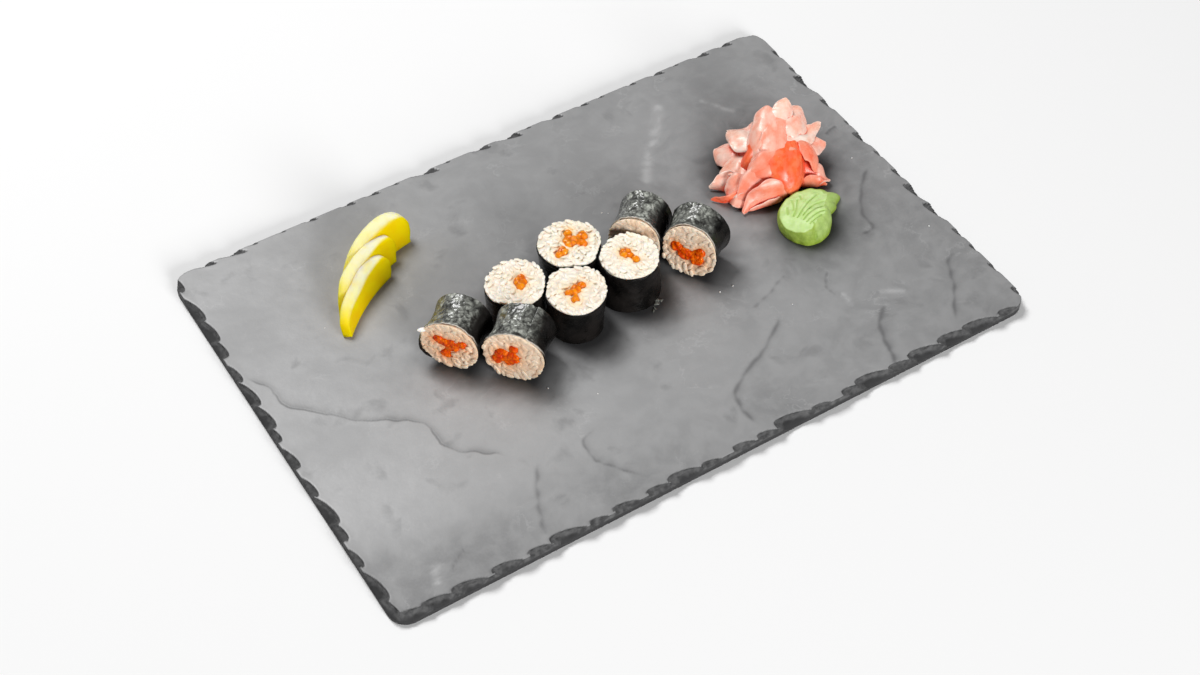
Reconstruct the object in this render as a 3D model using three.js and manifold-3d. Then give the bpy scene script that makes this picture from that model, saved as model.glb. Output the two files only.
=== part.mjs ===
// Thin maki rolls served on a slate-look board, with pickled ginger, a moulded leaf of
// wasabi and three leaning slices of yellow pickle. Millimetres, +Z up. The origin is the
// middle of the board's underside; +X runs along the board and +Y across it.

import * as THREE from 'three';
import Module from 'manifold-3d';
import { mergeVertices } from 'three/addons/utils/BufferGeometryUtils.js';

const wasm = await Module();
wasm.setup();

// ---- driving sizes -------------------------------------------------------------------

const board = {
  length: 300,
  width: 200,
  thickness: 5.5,
  cornerRadius: 8,
  cornerSteps: 4,
  rim: 0.5, // worn arris along the top and bottom edges
  chipPitch: 13.4, // spacing of the knapped hollows
  chipLength: 8.2, // half length of one hollow
  chipTurn: 17, // degrees that a hollow is turned into the edge at its deep end
  chipRise: 0.8, // height of a hollow's centre over the top face
};

// Hollows run from a corner; `reach` is how far they cut in, `drop` how far down.
const boardEdges = [
  { corner: [-1, -1], along: [1, 0], reach: 4.3, drop: 3.9, sides: 8 },
  { corner: [-1, -1], along: [0, 1], reach: 3.2, drop: 3.7, sides: 8 },
  { corner: [1, 1], along: [-1, 0], reach: 1.8, drop: 2.3, sides: 6 },
  { corner: [1, 1], along: [0, -1], reach: 1.8, drop: 2.3, sides: 6 },
];

const restGap = 0.25; // clearance between a piece and what it rests on
const skinGap = 0.15; // clearance between nested layers

const nori = { thickness: 0.5, wave: 0.3 };
const rice = { bump: 0.32, shoulder: 0.5, dome: 1.1, rings: 3 };
const grain = {
  length: 6, width: 2.3, height: 2.1, apart: 3.6, margin: 0.5, sunk: 0.6, tries: 60, shown: 6, back: 2,
};
const roe = { radius: 1.7, proud: 0.45 };
const rollSectors = 18;

// `radii` are back or base, waist, and shown end. `at` is the middle of a standing roll, or
// the middle of a lying roll's shown face, and `yaw` the way from that face to the back.
// `oval` stretches the section along `turn`, and `slant` tips the shown face back. `flats`
// are where a neighbour presses, each with its distance at the base or back and at the
// shown end. `lobes` are the bundles of roe in the section, as x, y and radius.
const rolls = [
  {
    name: 'maki_1', stands: true, at: [-6.2, 13.1], length: 20.3, radii: [13.2, 12.9, 13.8],
    oval: 0.005, turn: 42, slant: 0, seed: 11,
    flats: [{ toward: -116, reach: [12.7, 12.7] }, { toward: -47, reach: [12.6, 12.6] }],
    lobes: [[1, 1.2, 3.2], [2.5, 5.5, 2], [7, 1.2, 2.3], [5, -2.6, 1.9], [-4.5, -2, 2.2], [-7, -3, 1.7]],
  },
  {
    name: 'maki_2', stands: true, at: [-36.5, 6], length: 20.2, radii: [12.9, 12.7, 13.2],
    oval: 0.04, turn: 42, slant: 0, seed: 23,
    flats: [{ toward: -40, reach: [12.3, 12.3] }, { toward: 222, reach: [12, 12] }],
    lobes: [[2.2, -0.2, 2.8], [1.2, -2.4, 2], [3.6, 1.6, 1.9]],
  },
  {
    name: 'maki_3', stands: true, at: [-17.4, -10.1], length: 20.5, radii: [11.9, 12.4, 13.3],
    oval: 0.03, turn: 55, slant: 0, seed: 37,
    flats: [{ toward: 64, reach: [12.6, 12.6] }, { toward: 140, reach: [12.3, 12.3] }],
    lobes: [[0, 0.3, 2.2], [3.3, 1.1, 1.9], [-3.3, 0, 1.9], [-3, -4.4, 1.8]],
  },
  {
    name: 'maki_4', stands: true, at: [11.2, -5.7], length: 20.4, radii: [13.8, 12.9, 12.9],
    oval: 0.02, turn: 50, slant: 0, seed: 41,
    flats: [{ toward: 133, reach: [12.6, 12.6] }, { toward: 40, reach: [13.2, 13.2] }],
    lobes: [[-0.6, 2.2, 2.5], [1.2, -2.8, 1.8], [0.4, 0, 1.8]],
  },
  {
    name: 'maki_5', stands: false, at: [-73.8, -4.2], yaw: 39, length: 17.8,
    radii: [12.8, 11.5, 12.9], oval: 0.01, turn: 90, slant: 0, seed: 53,
    flats: [{ toward: -90, reach: [12.4, 12.5] }, { toward: 0, reach: [12.4, 12.75] }],
    lobes: [[1, 1, 2.8], [-4.2, 2, 1.8], [5.2, 2.8, 1.9], [-1.6, -4.2, 1.9]],
  },
  {
    name: 'maki_6', stands: false, at: [-55, -22.9], yaw: 42, length: 19,
    radii: [12.7, 11.7, 13.4], oval: 0.01, turn: 60, slant: 0, seed: 67,
    flats: [{ toward: -90, reach: [12.4, 12.9] }, { toward: 180, reach: [12.4, 13.2] }],
    lobes: [[-4.5, 0.2, 3.2], [-6.8, -3, 1.8], [-0.2, 5.6, 1.8], [-0.6, 0, 2.4]],
  },
  {
    name: 'maki_7', stands: false, at: [20.9, 5.6], yaw: 40, length: 17.6,
    radii: [12.2, 11.2, 12.2], oval: 0.04, turn: 90, slant: 0, seed: 71,
    flats: [{ toward: -90, reach: [12.4, 12.4] }, { toward: 0, reach: [11.9, 11.45] }],
    lobes: [[0, 0, 2.8], [2.6, 2, 2], [-2.6, -1, 1.9]],
  },
  {
    name: 'maki_8', stands: false, at: [36.3, -12.2], yaw: 36.5, length: 15.2,
    radii: [13.9, 12.2, 13], oval: 0.04, turn: 90, slant: 6, seed: 83,
    flats: [{ toward: -90, reach: [13.2, 12.7] }, { toward: 180, reach: [12.3, 11.75] }],
    lobes: [[-1.5, -1.6, 2.6], [-6, -2.6, 1.9], [3.2, -3, 2.5], [4.8, 0.2, 1.8]],
  },
];

const ginger = {
  at: [100, 21],
  core: { radius: 15.5, height: 20, rings: 4, sectors: 12 },
  sheet: 1.1, // thickness of one slice
  lengthSteps: 4,
  widthSteps: 3,
};

// Slices of ginger: root and tip from the heap's middle, width, `arch` along the slice,
// `cup` across it, and how blunt the tip is.
const petals = [
  { root: [-3, 5, 14], tip: [-8.5, 19.5, 12], width: 16, arch: 4, cup: -3, blunt: 0.3 },
  { root: [0, 2, 17], tip: [9.5, 13, 23.5], width: 10, arch: 2, cup: -2, blunt: 0.7 },
  { root: [5, 3, 17], tip: [16.5, 11, 26.5], width: 10, arch: -1, cup: 2, blunt: 0.1 },
  { root: [5, 0, 16], tip: [21.5, 3.5, 20], width: 16, arch: 4, cup: -3, blunt: 0.8 },
  { root: [7, -3, 12], tip: [28.5, 0.5, 13], width: 13, arch: 2, cup: 3, blunt: 0.3 },
  { root: [7, -5, 11], tip: [26, -8.5, 10.5], width: 9, arch: 2, cup: -2, blunt: 0.2 },
  { root: [8, -5, 17], tip: [-17.5, -10.5, 13.5], width: 17, arch: 7, cup: -4, blunt: 0.25 },
  { root: [0, -8, 13], tip: [16.5, -17, 6.5], width: 17, arch: 4, cup: -3, blunt: 0.7 },
  { root: [-3, -9, 7], tip: [-24, -18, 1.4], width: 12, arch: 3, cup: -3, blunt: 0.2 },
  { root: [1, -9, 7], tip: [-6, -21.6, 2], width: 14, arch: 3, cup: -2, blunt: 0.6 },
  { root: [-6, 2, 7], tip: [-19.5, 4, 6.5], width: 13, arch: 3, cup: -3, blunt: 0.7 },
  { root: [-8, 1, 5], tip: [-28.5, 2.5, 1.8], width: 9, arch: 2, cup: -1.5, blunt: 0.1 },
  { root: [-8, -3, 6], tip: [-25.5, -10, 3], width: 11, arch: 3, cup: -2, blunt: 0.3 },
  { root: [6, -9, 6], tip: [19, -21.5, 2.2], width: 10, arch: 2, cup: -2, blunt: 0.3 },
  { root: [2, 6, 10], tip: [4, 22, 7], width: 16, arch: 4, cup: -3, blunt: 0.6 },
  { root: [7, 5, 9], tip: [19, 15, 5], width: 15, arch: 4, cup: -3, blunt: 0.5 },
  { root: [9, 0, 6], tip: [24, 5, 3], width: 13, arch: 3, cup: -2, blunt: 0.4 },
];

const wasabi = {
  at: [95.5, -14.5],
  sectors: 28,
  // the leaf's outline as angle and distance: rounded end, lower lobe, stem, back
  outline: [[-162, 11.7], [-138, 12.3], [-118, 13.1], [-95, 12.7], [-75, 12.2], [-44, 11.8],
    [-12, 12.4], [3, 18], [12, 23.5], [24, 20], [40, 17], [65, 14], [95, 12.2], [125, 11.4], [160, 11.2]],
  // profile from the board to the crown, as a share of the outline and a height
  profile: [[1, 0], [1.02, 1.5], [0.97, 4.4], [0.86, 6.7], [0.62, 8.2], [0.3, 9]],
  stem: { toward: 12, spread: 38, lowered: 0.34 },
};

// Each slice is a strip that curves round the near side. `crest` is its rind from the narrow
// end to the broad one, as distance along the cut edge and height over it; `slide` is how
// far it has slid along the first slice.
const slice = {
  thickness: 3.4,
  lean: 18, // degrees off the vertical
  apart: 0.4, // gap between neighbours
  nose: [-100.2, 30.2], // narrow end of the first slice, where its cut edge meets the board
  heading: 47.8, // way that the cut edge leaves the nose
  bend: 84, // radius of the first slice's curve
  base: 36, // length of the cut edge
  stations: 12,
  pieces: [
    { slide: 0, crest: [[0, 1.5], [1.8, 6], [6, 8.8], [10, 10.2], [17, 11.3], [24.5, 12.8],
      [32.8, 12.2], [37.3, 9.9], [38.3, 6.1], [37.4, 2.4]] },
    { slide: 8, crest: [[0, 1.5], [2.9, 6.3], [6.5, 10.5], [10.2, 13.3], [17, 14.6], [24, 15],
      [31, 14.4], [37, 12], [38.2, 7.5], [36.8, 3]] },
    { slide: 19, crest: [[0, 2], [2.5, 7], [6.8, 11], [12.5, 14.8], [20.3, 17.3], [28.5, 17.8],
      [34.4, 15.2], [37.2, 11], [37.4, 6], [36.2, 2]] },
  ],
};

// ---- helpers -------------------------------------------------------------------------

const degrees = Math.PI / 180;

function seeded(seed) {
  let state = seed;
  return () => {
    state = (state + 0x6d2b79f5) | 0;
    let mixed = Math.imul(state ^ (state >>> 15), 1 | state);
    mixed = (mixed + Math.imul(mixed ^ (mixed >>> 7), 61 | mixed)) ^ mixed;
    return ((mixed ^ (mixed >>> 14)) >>> 0) / 4294967296;
  };
}

function material(color, roughness) {
  return new THREE.MeshStandardMaterial({ color, roughness, metalness: 0 });
}

function toSolid(geometry) {
  const bare = geometry.clone();
  bare.deleteAttribute('normal');
  bare.deleteAttribute('uv');
  const merged = mergeVertices(bare, 1e-4);
  return new wasm.Manifold(new wasm.Mesh({
    numProp: 3,
    vertProperties: new Float32Array(merged.attributes.position.array),
    triVerts: new Uint32Array(merged.index.array),
  }));
}

function toGeometry(solid) {
  const mesh = solid.getMesh();
  const geometry = new THREE.BufferGeometry();
  geometry.setAttribute('position', new THREE.BufferAttribute(mesh.vertProperties, 3));
  geometry.setIndex(new THREE.BufferAttribute(mesh.triVerts, 1));
  geometry.computeVertexNormals();
  return geometry;
}

function signedVolume(points, faces) {
  let volume = 0;
  for (const [a, b, c] of faces) {
    volume += points[a].dot(new THREE.Vector3().crossVectors(points[b], points[c])) / 6;
  }
  return volume;
}

function geometryOf(points, faces) {
  const outward = signedVolume(points, faces) > 0;
  const indices = faces.flatMap(([a, b, c]) => (outward ? [a, b, c] : [a, c, b]));
  const geometry = new THREE.BufferGeometry().setFromPoints(points);
  geometry.setIndex(indices);
  geometry.computeVertexNormals();
  return geometry;
}

// A closed skin over rings of points. A looped skin joins its last ring to its first, as
// round a tube; any other is closed with a fan at each end.
function skin(rings, looped) {
  const count = rings[0].length;
  const points = rings.flat();
  const faces = [];
  const spans = looped ? rings.length : rings.length - 1;
  for (let ring = 0; ring < spans; ring += 1) {
    const next = (ring + 1) % rings.length;
    for (let i = 0; i < count; i += 1) {
      const j = (i + 1) % count;
      const [a, b] = [ring * count + i, ring * count + j];
      const [c, d] = [next * count + j, next * count + i];
      faces.push([a, b, c], [a, c, d]);
    }
  }
  if (!looped) {
    for (const [ring, flip] of [[0, true], [rings.length - 1, false]]) {
      const middle = new THREE.Vector3();
      rings[ring].forEach((point) => middle.addScaledVector(point, 1 / count));
      const hub = points.push(middle) - 1;
      for (let i = 0; i < count; i += 1) {
        const [a, b] = [ring * count + i, ring * count + ((i + 1) % count)];
        faces.push(flip ? [hub, b, a] : [hub, a, b]);
      }
    }
  }
  return geometryOf(points, faces);
}

// Keeps the largest shell: loose scraps and the walls of sealed pockets are dropped.
function largestShell(geometry) {
  const corners = geometry.index.array;
  const owner = Array.from({ length: geometry.attributes.position.count }, (_, i) => i);
  const headOf = (vertex) => {
    let head = vertex;
    while (owner[head] !== head) {
      head = owner[head];
    }
    owner[vertex] = head;
    return head;
  };
  for (let i = 0; i < corners.length; i += 3) {
    owner[headOf(corners[i + 1])] = headOf(corners[i]);
    owner[headOf(corners[i + 2])] = headOf(corners[i]);
  }
  const sizes = new Map();
  corners.forEach((vertex) => sizes.set(headOf(vertex), (sizes.get(headOf(vertex)) ?? 0) + 1));
  const largest = [...sizes].reduce((best, entry) => (entry[1] > best[1] ? entry : best))[0];
  geometry.setIndex([...corners].filter((vertex) => headOf(vertex) === largest));
  return geometry;
}

function mix(a, b, share) {
  return a + (b - a) * share;
}

// ---- the board -----------------------------------------------------------------------

function boardOutline() {
  const inset = board.rim;
  const [x, y] = [board.length / 2 - inset, board.width / 2 - inset];
  const radius = board.cornerRadius - inset;
  const shape = new THREE.Shape();
  shape.absarc(x - radius, y - radius, radius, 0, Math.PI / 2);
  shape.absarc(-x + radius, y - radius, radius, Math.PI / 2, Math.PI);
  shape.absarc(-x + radius, -y + radius, radius, Math.PI, 1.5 * Math.PI);
  shape.absarc(x - radius, -y + radius, radius, 1.5 * Math.PI, 2 * Math.PI);
  return shape;
}

function chipCutter(edge, place, size) {
  const along = new THREE.Vector3(edge.along[0], edge.along[1], 0);
  const inward = new THREE.Vector3(
    edge.along[0] === 0 ? -edge.corner[0] : 0,
    edge.along[1] === 0 ? -edge.corner[1] : 0,
    0,
  );
  const turn = board.chipTurn * degrees;
  const long = along.clone().multiplyScalar(Math.cos(turn)).addScaledVector(inward, -Math.sin(turn));
  const cross = new THREE.Vector3(-long.y, long.x, 0);
  const centre = new THREE.Vector3(
    (edge.corner[0] * board.length) / 2,
    (edge.corner[1] * board.width) / 2,
    board.thickness + board.chipRise,
  ).addScaledVector(along, place);
  const hollow = new THREE.SphereGeometry(1, edge.sides, edge.sides / 2);
  hollow.scale(board.chipLength * size, edge.reach * size, (edge.drop + board.chipRise) * size);
  hollow.applyMatrix4(new THREE.Matrix4().makeBasis(long, cross, new THREE.Vector3(0, 0, 1)));
  hollow.translate(centre.x, centre.y, centre.z);
  return toSolid(hollow);
}

function boardGeometry() {
  const slab = new THREE.ExtrudeGeometry(boardOutline(), {
    depth: board.thickness - 2 * board.rim,
    bevelEnabled: true,
    bevelThickness: board.rim,
    bevelSize: board.rim,
    bevelSegments: 1,
    curveSegments: board.cornerSteps,
  });
  slab.translate(0, 0, board.rim);
  let solid = toSolid(slab);
  const random = seeded(5);
  for (const edge of boardEdges) {
    const run = edge.along[0] === 0 ? board.width : board.length;
    const count = Math.floor((run - board.chipPitch / 2) / board.chipPitch) + 1;
    for (let i = 0; i < count; i += 1) {
      const place = (i + 0.55 + 0.16 * (random() - 0.5)) * board.chipPitch;
      solid = solid.subtract(chipCutter(edge, place, 0.85 + 0.25 * random()));
    }
  }
  return toGeometry(solid);
}

// ---- a roll --------------------------------------------------------------------------

// Outer radius of the seaweed at an angle of the section and a share `t` of the length.
function rollRadius(roll, angle, t) {
  const [base, waist, shown] = roll.radii;
  const bow = 4 * t * (1 - t);
  let radius = mix(base, shown, t) + (waist - (base + shown) / 2) * bow;
  radius *= 1 + roll.oval * Math.cos(2 * (angle - roll.turn * degrees));
  radius += 0.16 * Math.sin(3 * angle + roll.seed + 2 * t) + 0.1 * Math.sin(5 * angle - roll.seed + 5 * t);
  for (const flat of roll.flats) {
    const facing = Math.cos(angle - flat.toward * degrees);
    if (facing > 0.3) {
      radius = Math.min(radius, mix(flat.reach[0], flat.reach[1], t) / facing);
    }
  }
  return radius;
}

function fillingCentre(roll) {
  const [x, y] = roll.lobes.reduce(([sx, sy], lobe) => [sx + lobe[0], sy + lobe[1]], [0, 0]);
  return [(0.6 * x) / roll.lobes.length, (0.6 * y) / roll.lobes.length];
}

// How far the filling reaches from its centre: the far side of the outermost lobe.
function fillingRadius(roll, angle) {
  const [cx, cy] = fillingCentre(roll);
  let reach = 1.4;
  for (const [x, y, radius] of roll.lobes) {
    const along = (x - cx) * Math.cos(angle) + (y - cy) * Math.sin(angle);
    const aside = -(x - cx) * Math.sin(angle) + (y - cy) * Math.cos(angle);
    if (Math.abs(aside) < radius) {
      reach = Math.max(reach, along + Math.sqrt(radius ** 2 - aside ** 2));
    }
  }
  return reach;
}

const sectorAngles = Array.from({ length: rollSectors }, (_, i) => (i * 2 * Math.PI) / rollSectors);

function outerRing(roll, t, inset, height) {
  return sectorAngles.map((angle) => {
    const radius = rollRadius(roll, angle, t) - inset;
    return new THREE.Vector3(radius * Math.cos(angle), radius * Math.sin(angle), height(angle));
  });
}

function fillingRing(roll, grow, height) {
  const [cx, cy] = fillingCentre(roll);
  return sectorAngles.map((angle) => {
    const radius = fillingRadius(roll, angle) + grow;
    return new THREE.Vector3(cx + radius * Math.cos(angle), cy + radius * Math.sin(angle), height);
  });
}

function levels(roll) {
  return roll.stands ? [0, 0.5, 1] : [0, 0.33, 0.67, 1];
}

function wallHeight(roll, t) {
  return t * (roll.length - rice.shoulder);
}

// The cut edge of the seaweed waves a little; a standing roll's base is level.
function cutHeight(roll, t, angle) {
  const cut = t === 1 || (t === 0 && !roll.stands);
  return wallHeight(roll, t) + (cut ? nori.wave * Math.sin(2 * angle + roll.seed) : 0);
}

// The inner wall comes first, so that its quads split the same way as the rice's side.
function noriGeometry(roll) {
  const wall = (inset) => levels(roll).map((t) => (
    outerRing(roll, t, inset, (angle) => cutHeight(roll, t, angle))
  ));
  return skin([...wall(nori.thickness), ...wall(0).reverse()], true);
}

// Rings of an end of the rice from the seaweed in to the filling. A base stays flat.
function endRings(roll, shown, random) {
  const t = shown ? 1 : 0;
  const sign = shown ? 1 : -1;
  const flat = !shown && roll.stands;
  const edge = wallHeight(roll, t);
  const outer = outerRing(roll, t, nori.thickness + skinGap, () => edge);
  const hole = fillingRing(roll, skinGap, edge + (flat ? 0 : sign * rice.dome));
  const rings = [outer];
  for (let ring = 0; ring < rice.rings && !flat; ring += 1) {
    const share = ring === 0 ? 0.09 : ring / rice.rings + 0.06;
    rings.push(outer.map((point, i) => {
      const spot = point.clone().lerp(hole[i], share);
      const rise = rice.dome * Math.min(1, 0.55 + share);
      spot.z = edge + sign * rise + rice.bump * (2 * random() - 1);
      return spot;
    }));
  }
  rings.push(hole);
  return rings;
}

function grainSolid(x, y, z, heading, tilt) {
  const shape = new THREE.SphereGeometry(1, 5, 3);
  shape.scale(grain.width / 2, grain.length / 2, grain.height / 2);
  shape.rotateX(tilt);
  shape.rotateZ(heading);
  shape.translate(x, y, z);
  return toSolid(shape);
}

// A grain is kept where both its tips lie between the seaweed and the filling.
function grainFits(roll, t, x, y, heading) {
  const [cx, cy] = fillingCentre(roll);
  return [-1, 0, 1].every((end) => {
    const px = x - (end * Math.sin(heading) * grain.length) / 2;
    const py = y + (end * Math.cos(heading) * grain.length) / 2;
    const room = end === 0 ? grain.width / 2 + grain.margin : grain.margin;
    const limit = rollRadius(roll, Math.atan2(py, px), t) - nori.thickness - skinGap - room;
    const [fx, fy] = [px - cx, py - cy];
    const nearest = Math.max(...[-0.3, 0, 0.3].map((side) => fillingRadius(roll, Math.atan2(fy, fx) + side)));
    return Math.hypot(px, py) < limit && Math.hypot(fx, fy) > nearest + grain.width / 2 + 0.3;
  });
}

function riceGeometry(roll) {
  const random = seeded(roll.seed);
  const side = levels(roll).map((t) => (
    outerRing(roll, t, nori.thickness + skinGap, () => wallHeight(roll, t))
  ));
  const shownEnd = endRings(roll, true, random);
  const backEnd = endRings(roll, false, random);
  const core = skin([...side, ...shownEnd.slice(1), ...backEnd.slice(1).reverse()], true);
  let solid = toSolid(core);
  for (const [shown, wanted] of [[true, grain.shown], [false, roll.stands ? 0 : grain.back]]) {
    const height = shown ? wallHeight(roll, 1) + rice.dome - grain.sunk : grain.sunk - rice.dome;
    const kept = [];
    for (let attempt = 0; attempt < grain.tries && kept.length < wanted; attempt += 1) {
      const [x, y] = [26 * (random() - 0.5), 26 * (random() - 0.5)];
      const heading = Math.PI * random();
      const tilt = 0.25 * (random() - 0.5);
      const clear = kept.every(([kx, ky]) => Math.hypot(x - kx, y - ky) > grain.apart);
      if (clear && grainFits(roll, shown ? 1 : 0, x, y, heading)) {
        kept.push([x, y]);
        solid = solid.add(grainSolid(x, y, height, heading, tilt));
      }
    }
  }
  return toGeometry(solid);
}

// A bead stays inside the filling's own outline.
function roomForBead(roll, x, y) {
  const [cx, cy] = fillingCentre(roll);
  const ring = sectorAngles.map((angle) => {
    const radius = fillingRadius(roll, angle);
    return new THREE.Vector3(cx + radius * Math.cos(angle), cy + radius * Math.sin(angle), 0);
  });
  const spot = new THREE.Vector3(x, y, 0);
  return Math.min(...ring.map((point, i) => {
    const side = new THREE.Line3(point, ring[(i + 1) % ring.length]);
    return side.closestPointToPoint(spot, true, new THREE.Vector3()).distanceTo(spot);
  }));
}

function fillingGeometry(roll) {
  const top = roll.length - rice.shoulder + rice.dome;
  const bottom = roll.stands ? 0 : -rice.dome;
  let solid = toSolid(skin([fillingRing(roll, 0, bottom), fillingRing(roll, 0, top)], false));
  for (const [x, y, radius] of roll.lobes) {
    const size = Math.min(roe.radius, radius - 0.1, roomForBead(roll, x, y) - 0.05);
    if (size > 1) {
      const ends = roll.stands ? [top - size + roe.proud] : [top - size + roe.proud, bottom + size - roe.proud];
      for (const height of ends) {
        const bead = new THREE.IcosahedronGeometry(size, 0);
        bead.translate(x, y, height);
        solid = solid.add(toSolid(bead));
      }
    }
  }
  return toGeometry(solid);
}

// Tips the shown face back, more and more towards the top of that face.
function slanted(geometry, roll) {
  const position = geometry.attributes.position;
  const lost = Math.tan(roll.slant * degrees) / roll.length;
  for (let i = 0; i < position.count; i += 1) {
    position.setZ(i, position.getZ(i) * (1 - lost * position.getY(i)));
  }
  geometry.computeVertexNormals();
  return geometry;
}

function rollGroup(roll) {
  const group = new THREE.Group();
  if (roll.stands) {
    group.position.set(roll.at[0], roll.at[1], board.thickness + restGap);
  } else {
    const yaw = roll.yaw * degrees;
    const inward = new THREE.Vector3(Math.cos(yaw), Math.sin(yaw), 0);
    const right = new THREE.Vector3(Math.sin(yaw), -Math.cos(yaw), 0);
    const up = new THREE.Vector3(0, 0, 1);
    const turned = new THREE.Matrix4().makeBasis(right, up, inward.clone().negate());
    const rest = Math.max(...roll.flats.find((flat) => flat.toward === -90).reach);
    group.quaternion.setFromRotationMatrix(turned);
    group.position.set(roll.at[0], roll.at[1], board.thickness + restGap + rest);
    group.position.addScaledVector(inward, roll.length);
  }
  const layers = [
    ['nori', noriGeometry, material(0x1c1714, 0.35)],
    ['rice', riceGeometry, material(0xeee4d6, 0.55)],
    ['filling', fillingGeometry, material(0xd9601c, 0.25)],
  ];
  for (const [layer, build, finish] of layers) {
    const mesh = new THREE.Mesh(slanted(build(roll), roll), finish);
    mesh.name = `${roll.name}_${layer}`;
    group.add(mesh);
  }
  return group;
}

// ---- pickled ginger ------------------------------------------------------------------

function gingerCore() {
  const { radius, height, rings, sectors } = ginger.core;
  const loops = [];
  for (let ring = 0; ring < rings; ring += 1) {
    const rise = (ring / rings) * 0.5 * Math.PI;
    loops.push(Array.from({ length: sectors }, (_, i) => {
      const angle = (i * 2 * Math.PI) / sectors;
      const spread = radius * Math.cos(rise) * (1 + 0.08 * Math.sin(3 * angle + ring));
      return new THREE.Vector3(spread * Math.cos(angle), spread * Math.sin(angle), height * Math.sin(rise));
    }));
  }
  return skin(loops, false);
}

// One thin slice: an arched strip with cupped, ruffled sides, split alike on both faces.
function petalGeometry(petal, index) {
  const root = new THREE.Vector3(...petal.root);
  const tip = new THREE.Vector3(...petal.tip);
  const chord = tip.clone().sub(root);
  const outward = new THREE.Vector3(tip.x + root.x, tip.y + root.y, 14).normalize();
  const across = chord.clone().cross(outward).normalize();
  const normal = across.clone().cross(chord).normalize();
  const { lengthSteps, widthSteps } = ginger;
  const point = (u, v) => {
    const spread = Math.sin(Math.PI * Math.min(1, 0.18 + 0.62 * u)) * mix(1, mix(petal.blunt, 1, 1 - u * u), u);
    const half = 0.5 * petal.width * Math.max(0.12, spread);
    const ruffle = 0.9 * Math.sin(7 * u + 2.2 * index + 2 * v) * v * v;
    const lift = petal.arch * 4 * u * (1 - u) + petal.cup * v * v * u + ruffle;
    return root.clone().addScaledVector(chord, u).addScaledVector(across, v * half).addScaledVector(normal, lift);
  };
  const points = [];
  for (const side of [0.5, -0.5]) {
    for (let i = 0; i <= lengthSteps; i += 1) {
      for (let j = 0; j <= widthSteps; j += 1) {
        const spot = point(i / lengthSteps, (2 * j) / widthSteps - 1);
        spot.addScaledVector(normal, side * ginger.sheet);
        spot.z = Math.max(spot.z, side > 0 ? ginger.sheet : 0);
        points.push(spot);
      }
    }
  }
  const row = widthSteps + 1;
  const face = row * (lengthSteps + 1);
  const faces = [];
  for (let i = 0; i < lengthSteps; i += 1) {
    for (let j = 0; j < widthSteps; j += 1) {
      const [a, b, c, d] = [i * row + j, (i + 1) * row + j, (i + 1) * row + j + 1, i * row + j + 1];
      faces.push([a, b, c], [a, c, d], [a + face, c + face, b + face], [a + face, d + face, c + face]);
    }
  }
  const border = [
    ...Array.from({ length: widthSteps }, (_, j) => j),
    ...Array.from({ length: lengthSteps }, (_, i) => i * row + widthSteps),
    ...Array.from({ length: widthSteps }, (_, j) => lengthSteps * row + widthSteps - j),
    ...Array.from({ length: lengthSteps }, (_, i) => (lengthSteps - i) * row),
  ];
  border.forEach((a, i) => {
    const b = border[(i + 1) % border.length];
    faces.push([a, b, b + face], [a, b + face, a + face]);
  });
  return geometryOf(points, faces);
}

function gingerMesh() {
  let solid = toSolid(gingerCore());
  petals.forEach((petal, index) => {
    solid = solid.add(toSolid(petalGeometry(petal, index)));
  });
  const mesh = new THREE.Mesh(largestShell(toGeometry(solid)), material(0xf59a7c, 0.4));
  mesh.name = 'ginger';
  mesh.position.set(ginger.at[0], ginger.at[1], board.thickness + restGap);
  return mesh;
}

// ---- wasabi leaf ---------------------------------------------------------------------

function wasabiReach(angle) {
  const curve = wasabi.outline;
  const turned = ((angle - curve[0][0]) % 360 + 360) % 360;
  for (let i = 0; i < curve.length; i += 1) {
    const here = curve[i];
    const next = i + 1 < curve.length ? curve[i + 1] : [curve[0][0] + 360, curve[0][1]];
    const from = here[0] - curve[0][0];
    const to = next[0] - curve[0][0];
    if (turned >= from && turned <= to) {
      const share = (turned - from) / (to - from);
      return mix(here[1], next[1], share * share * (3 - 2 * share));
    }
  }
  return curve[0][1];
}

// How much the stem side is lowered at an angle of the outline.
function stemDrop(angle) {
  const { toward, spread, lowered } = wasabi.stem;
  const off = Math.abs(((angle - toward + 540) % 360) - 180);
  return off < spread ? 0.5 * lowered * (1 + Math.cos((Math.PI * off) / spread)) : 0;
}

function wasabiMesh() {
  const rings = wasabi.profile.map(([share, height]) => (
    Array.from({ length: wasabi.sectors }, (_, i) => {
      const angle = (i * 360) / wasabi.sectors;
      const reach = wasabiReach(angle) * share;
      const drop = 1 - stemDrop(angle) * share;
      return new THREE.Vector3(reach * Math.cos(angle * degrees), reach * Math.sin(angle * degrees), height * drop);
    })
  ));
  const mesh = new THREE.Mesh(skin(rings, false), material(0xb7dc86, 0.6));
  mesh.name = 'wasabi_leaf';
  mesh.position.set(wasabi.at[0], wasabi.at[1], board.thickness + restGap);
  return mesh;
}

// ---- slices of yellow pickle ---------------------------------------------------------

// `along` follows the bent cut edge, `rise` climbs the leaning face, `depth` goes into it.
function slicePoint(order, along, rise, depth) {
  const lean = slice.lean * degrees;
  const stack = (order * (slice.thickness + slice.apart)) / Math.cos(lean);
  const radius = slice.bend + stack + rise * Math.sin(lean) + depth * Math.cos(lean);
  const turned = slice.heading * degrees + Math.PI / 2 - (along + slice.pieces[order].slide) / slice.bend;
  const start = slice.heading * degrees + Math.PI / 2;
  return new THREE.Vector3(
    radius * Math.cos(turned) - slice.bend * Math.cos(start),
    radius * Math.sin(turned) - slice.bend * Math.sin(start),
    slice.thickness * Math.sin(lean) + rise * Math.cos(lean) - depth * Math.sin(lean),
  );
}

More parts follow.
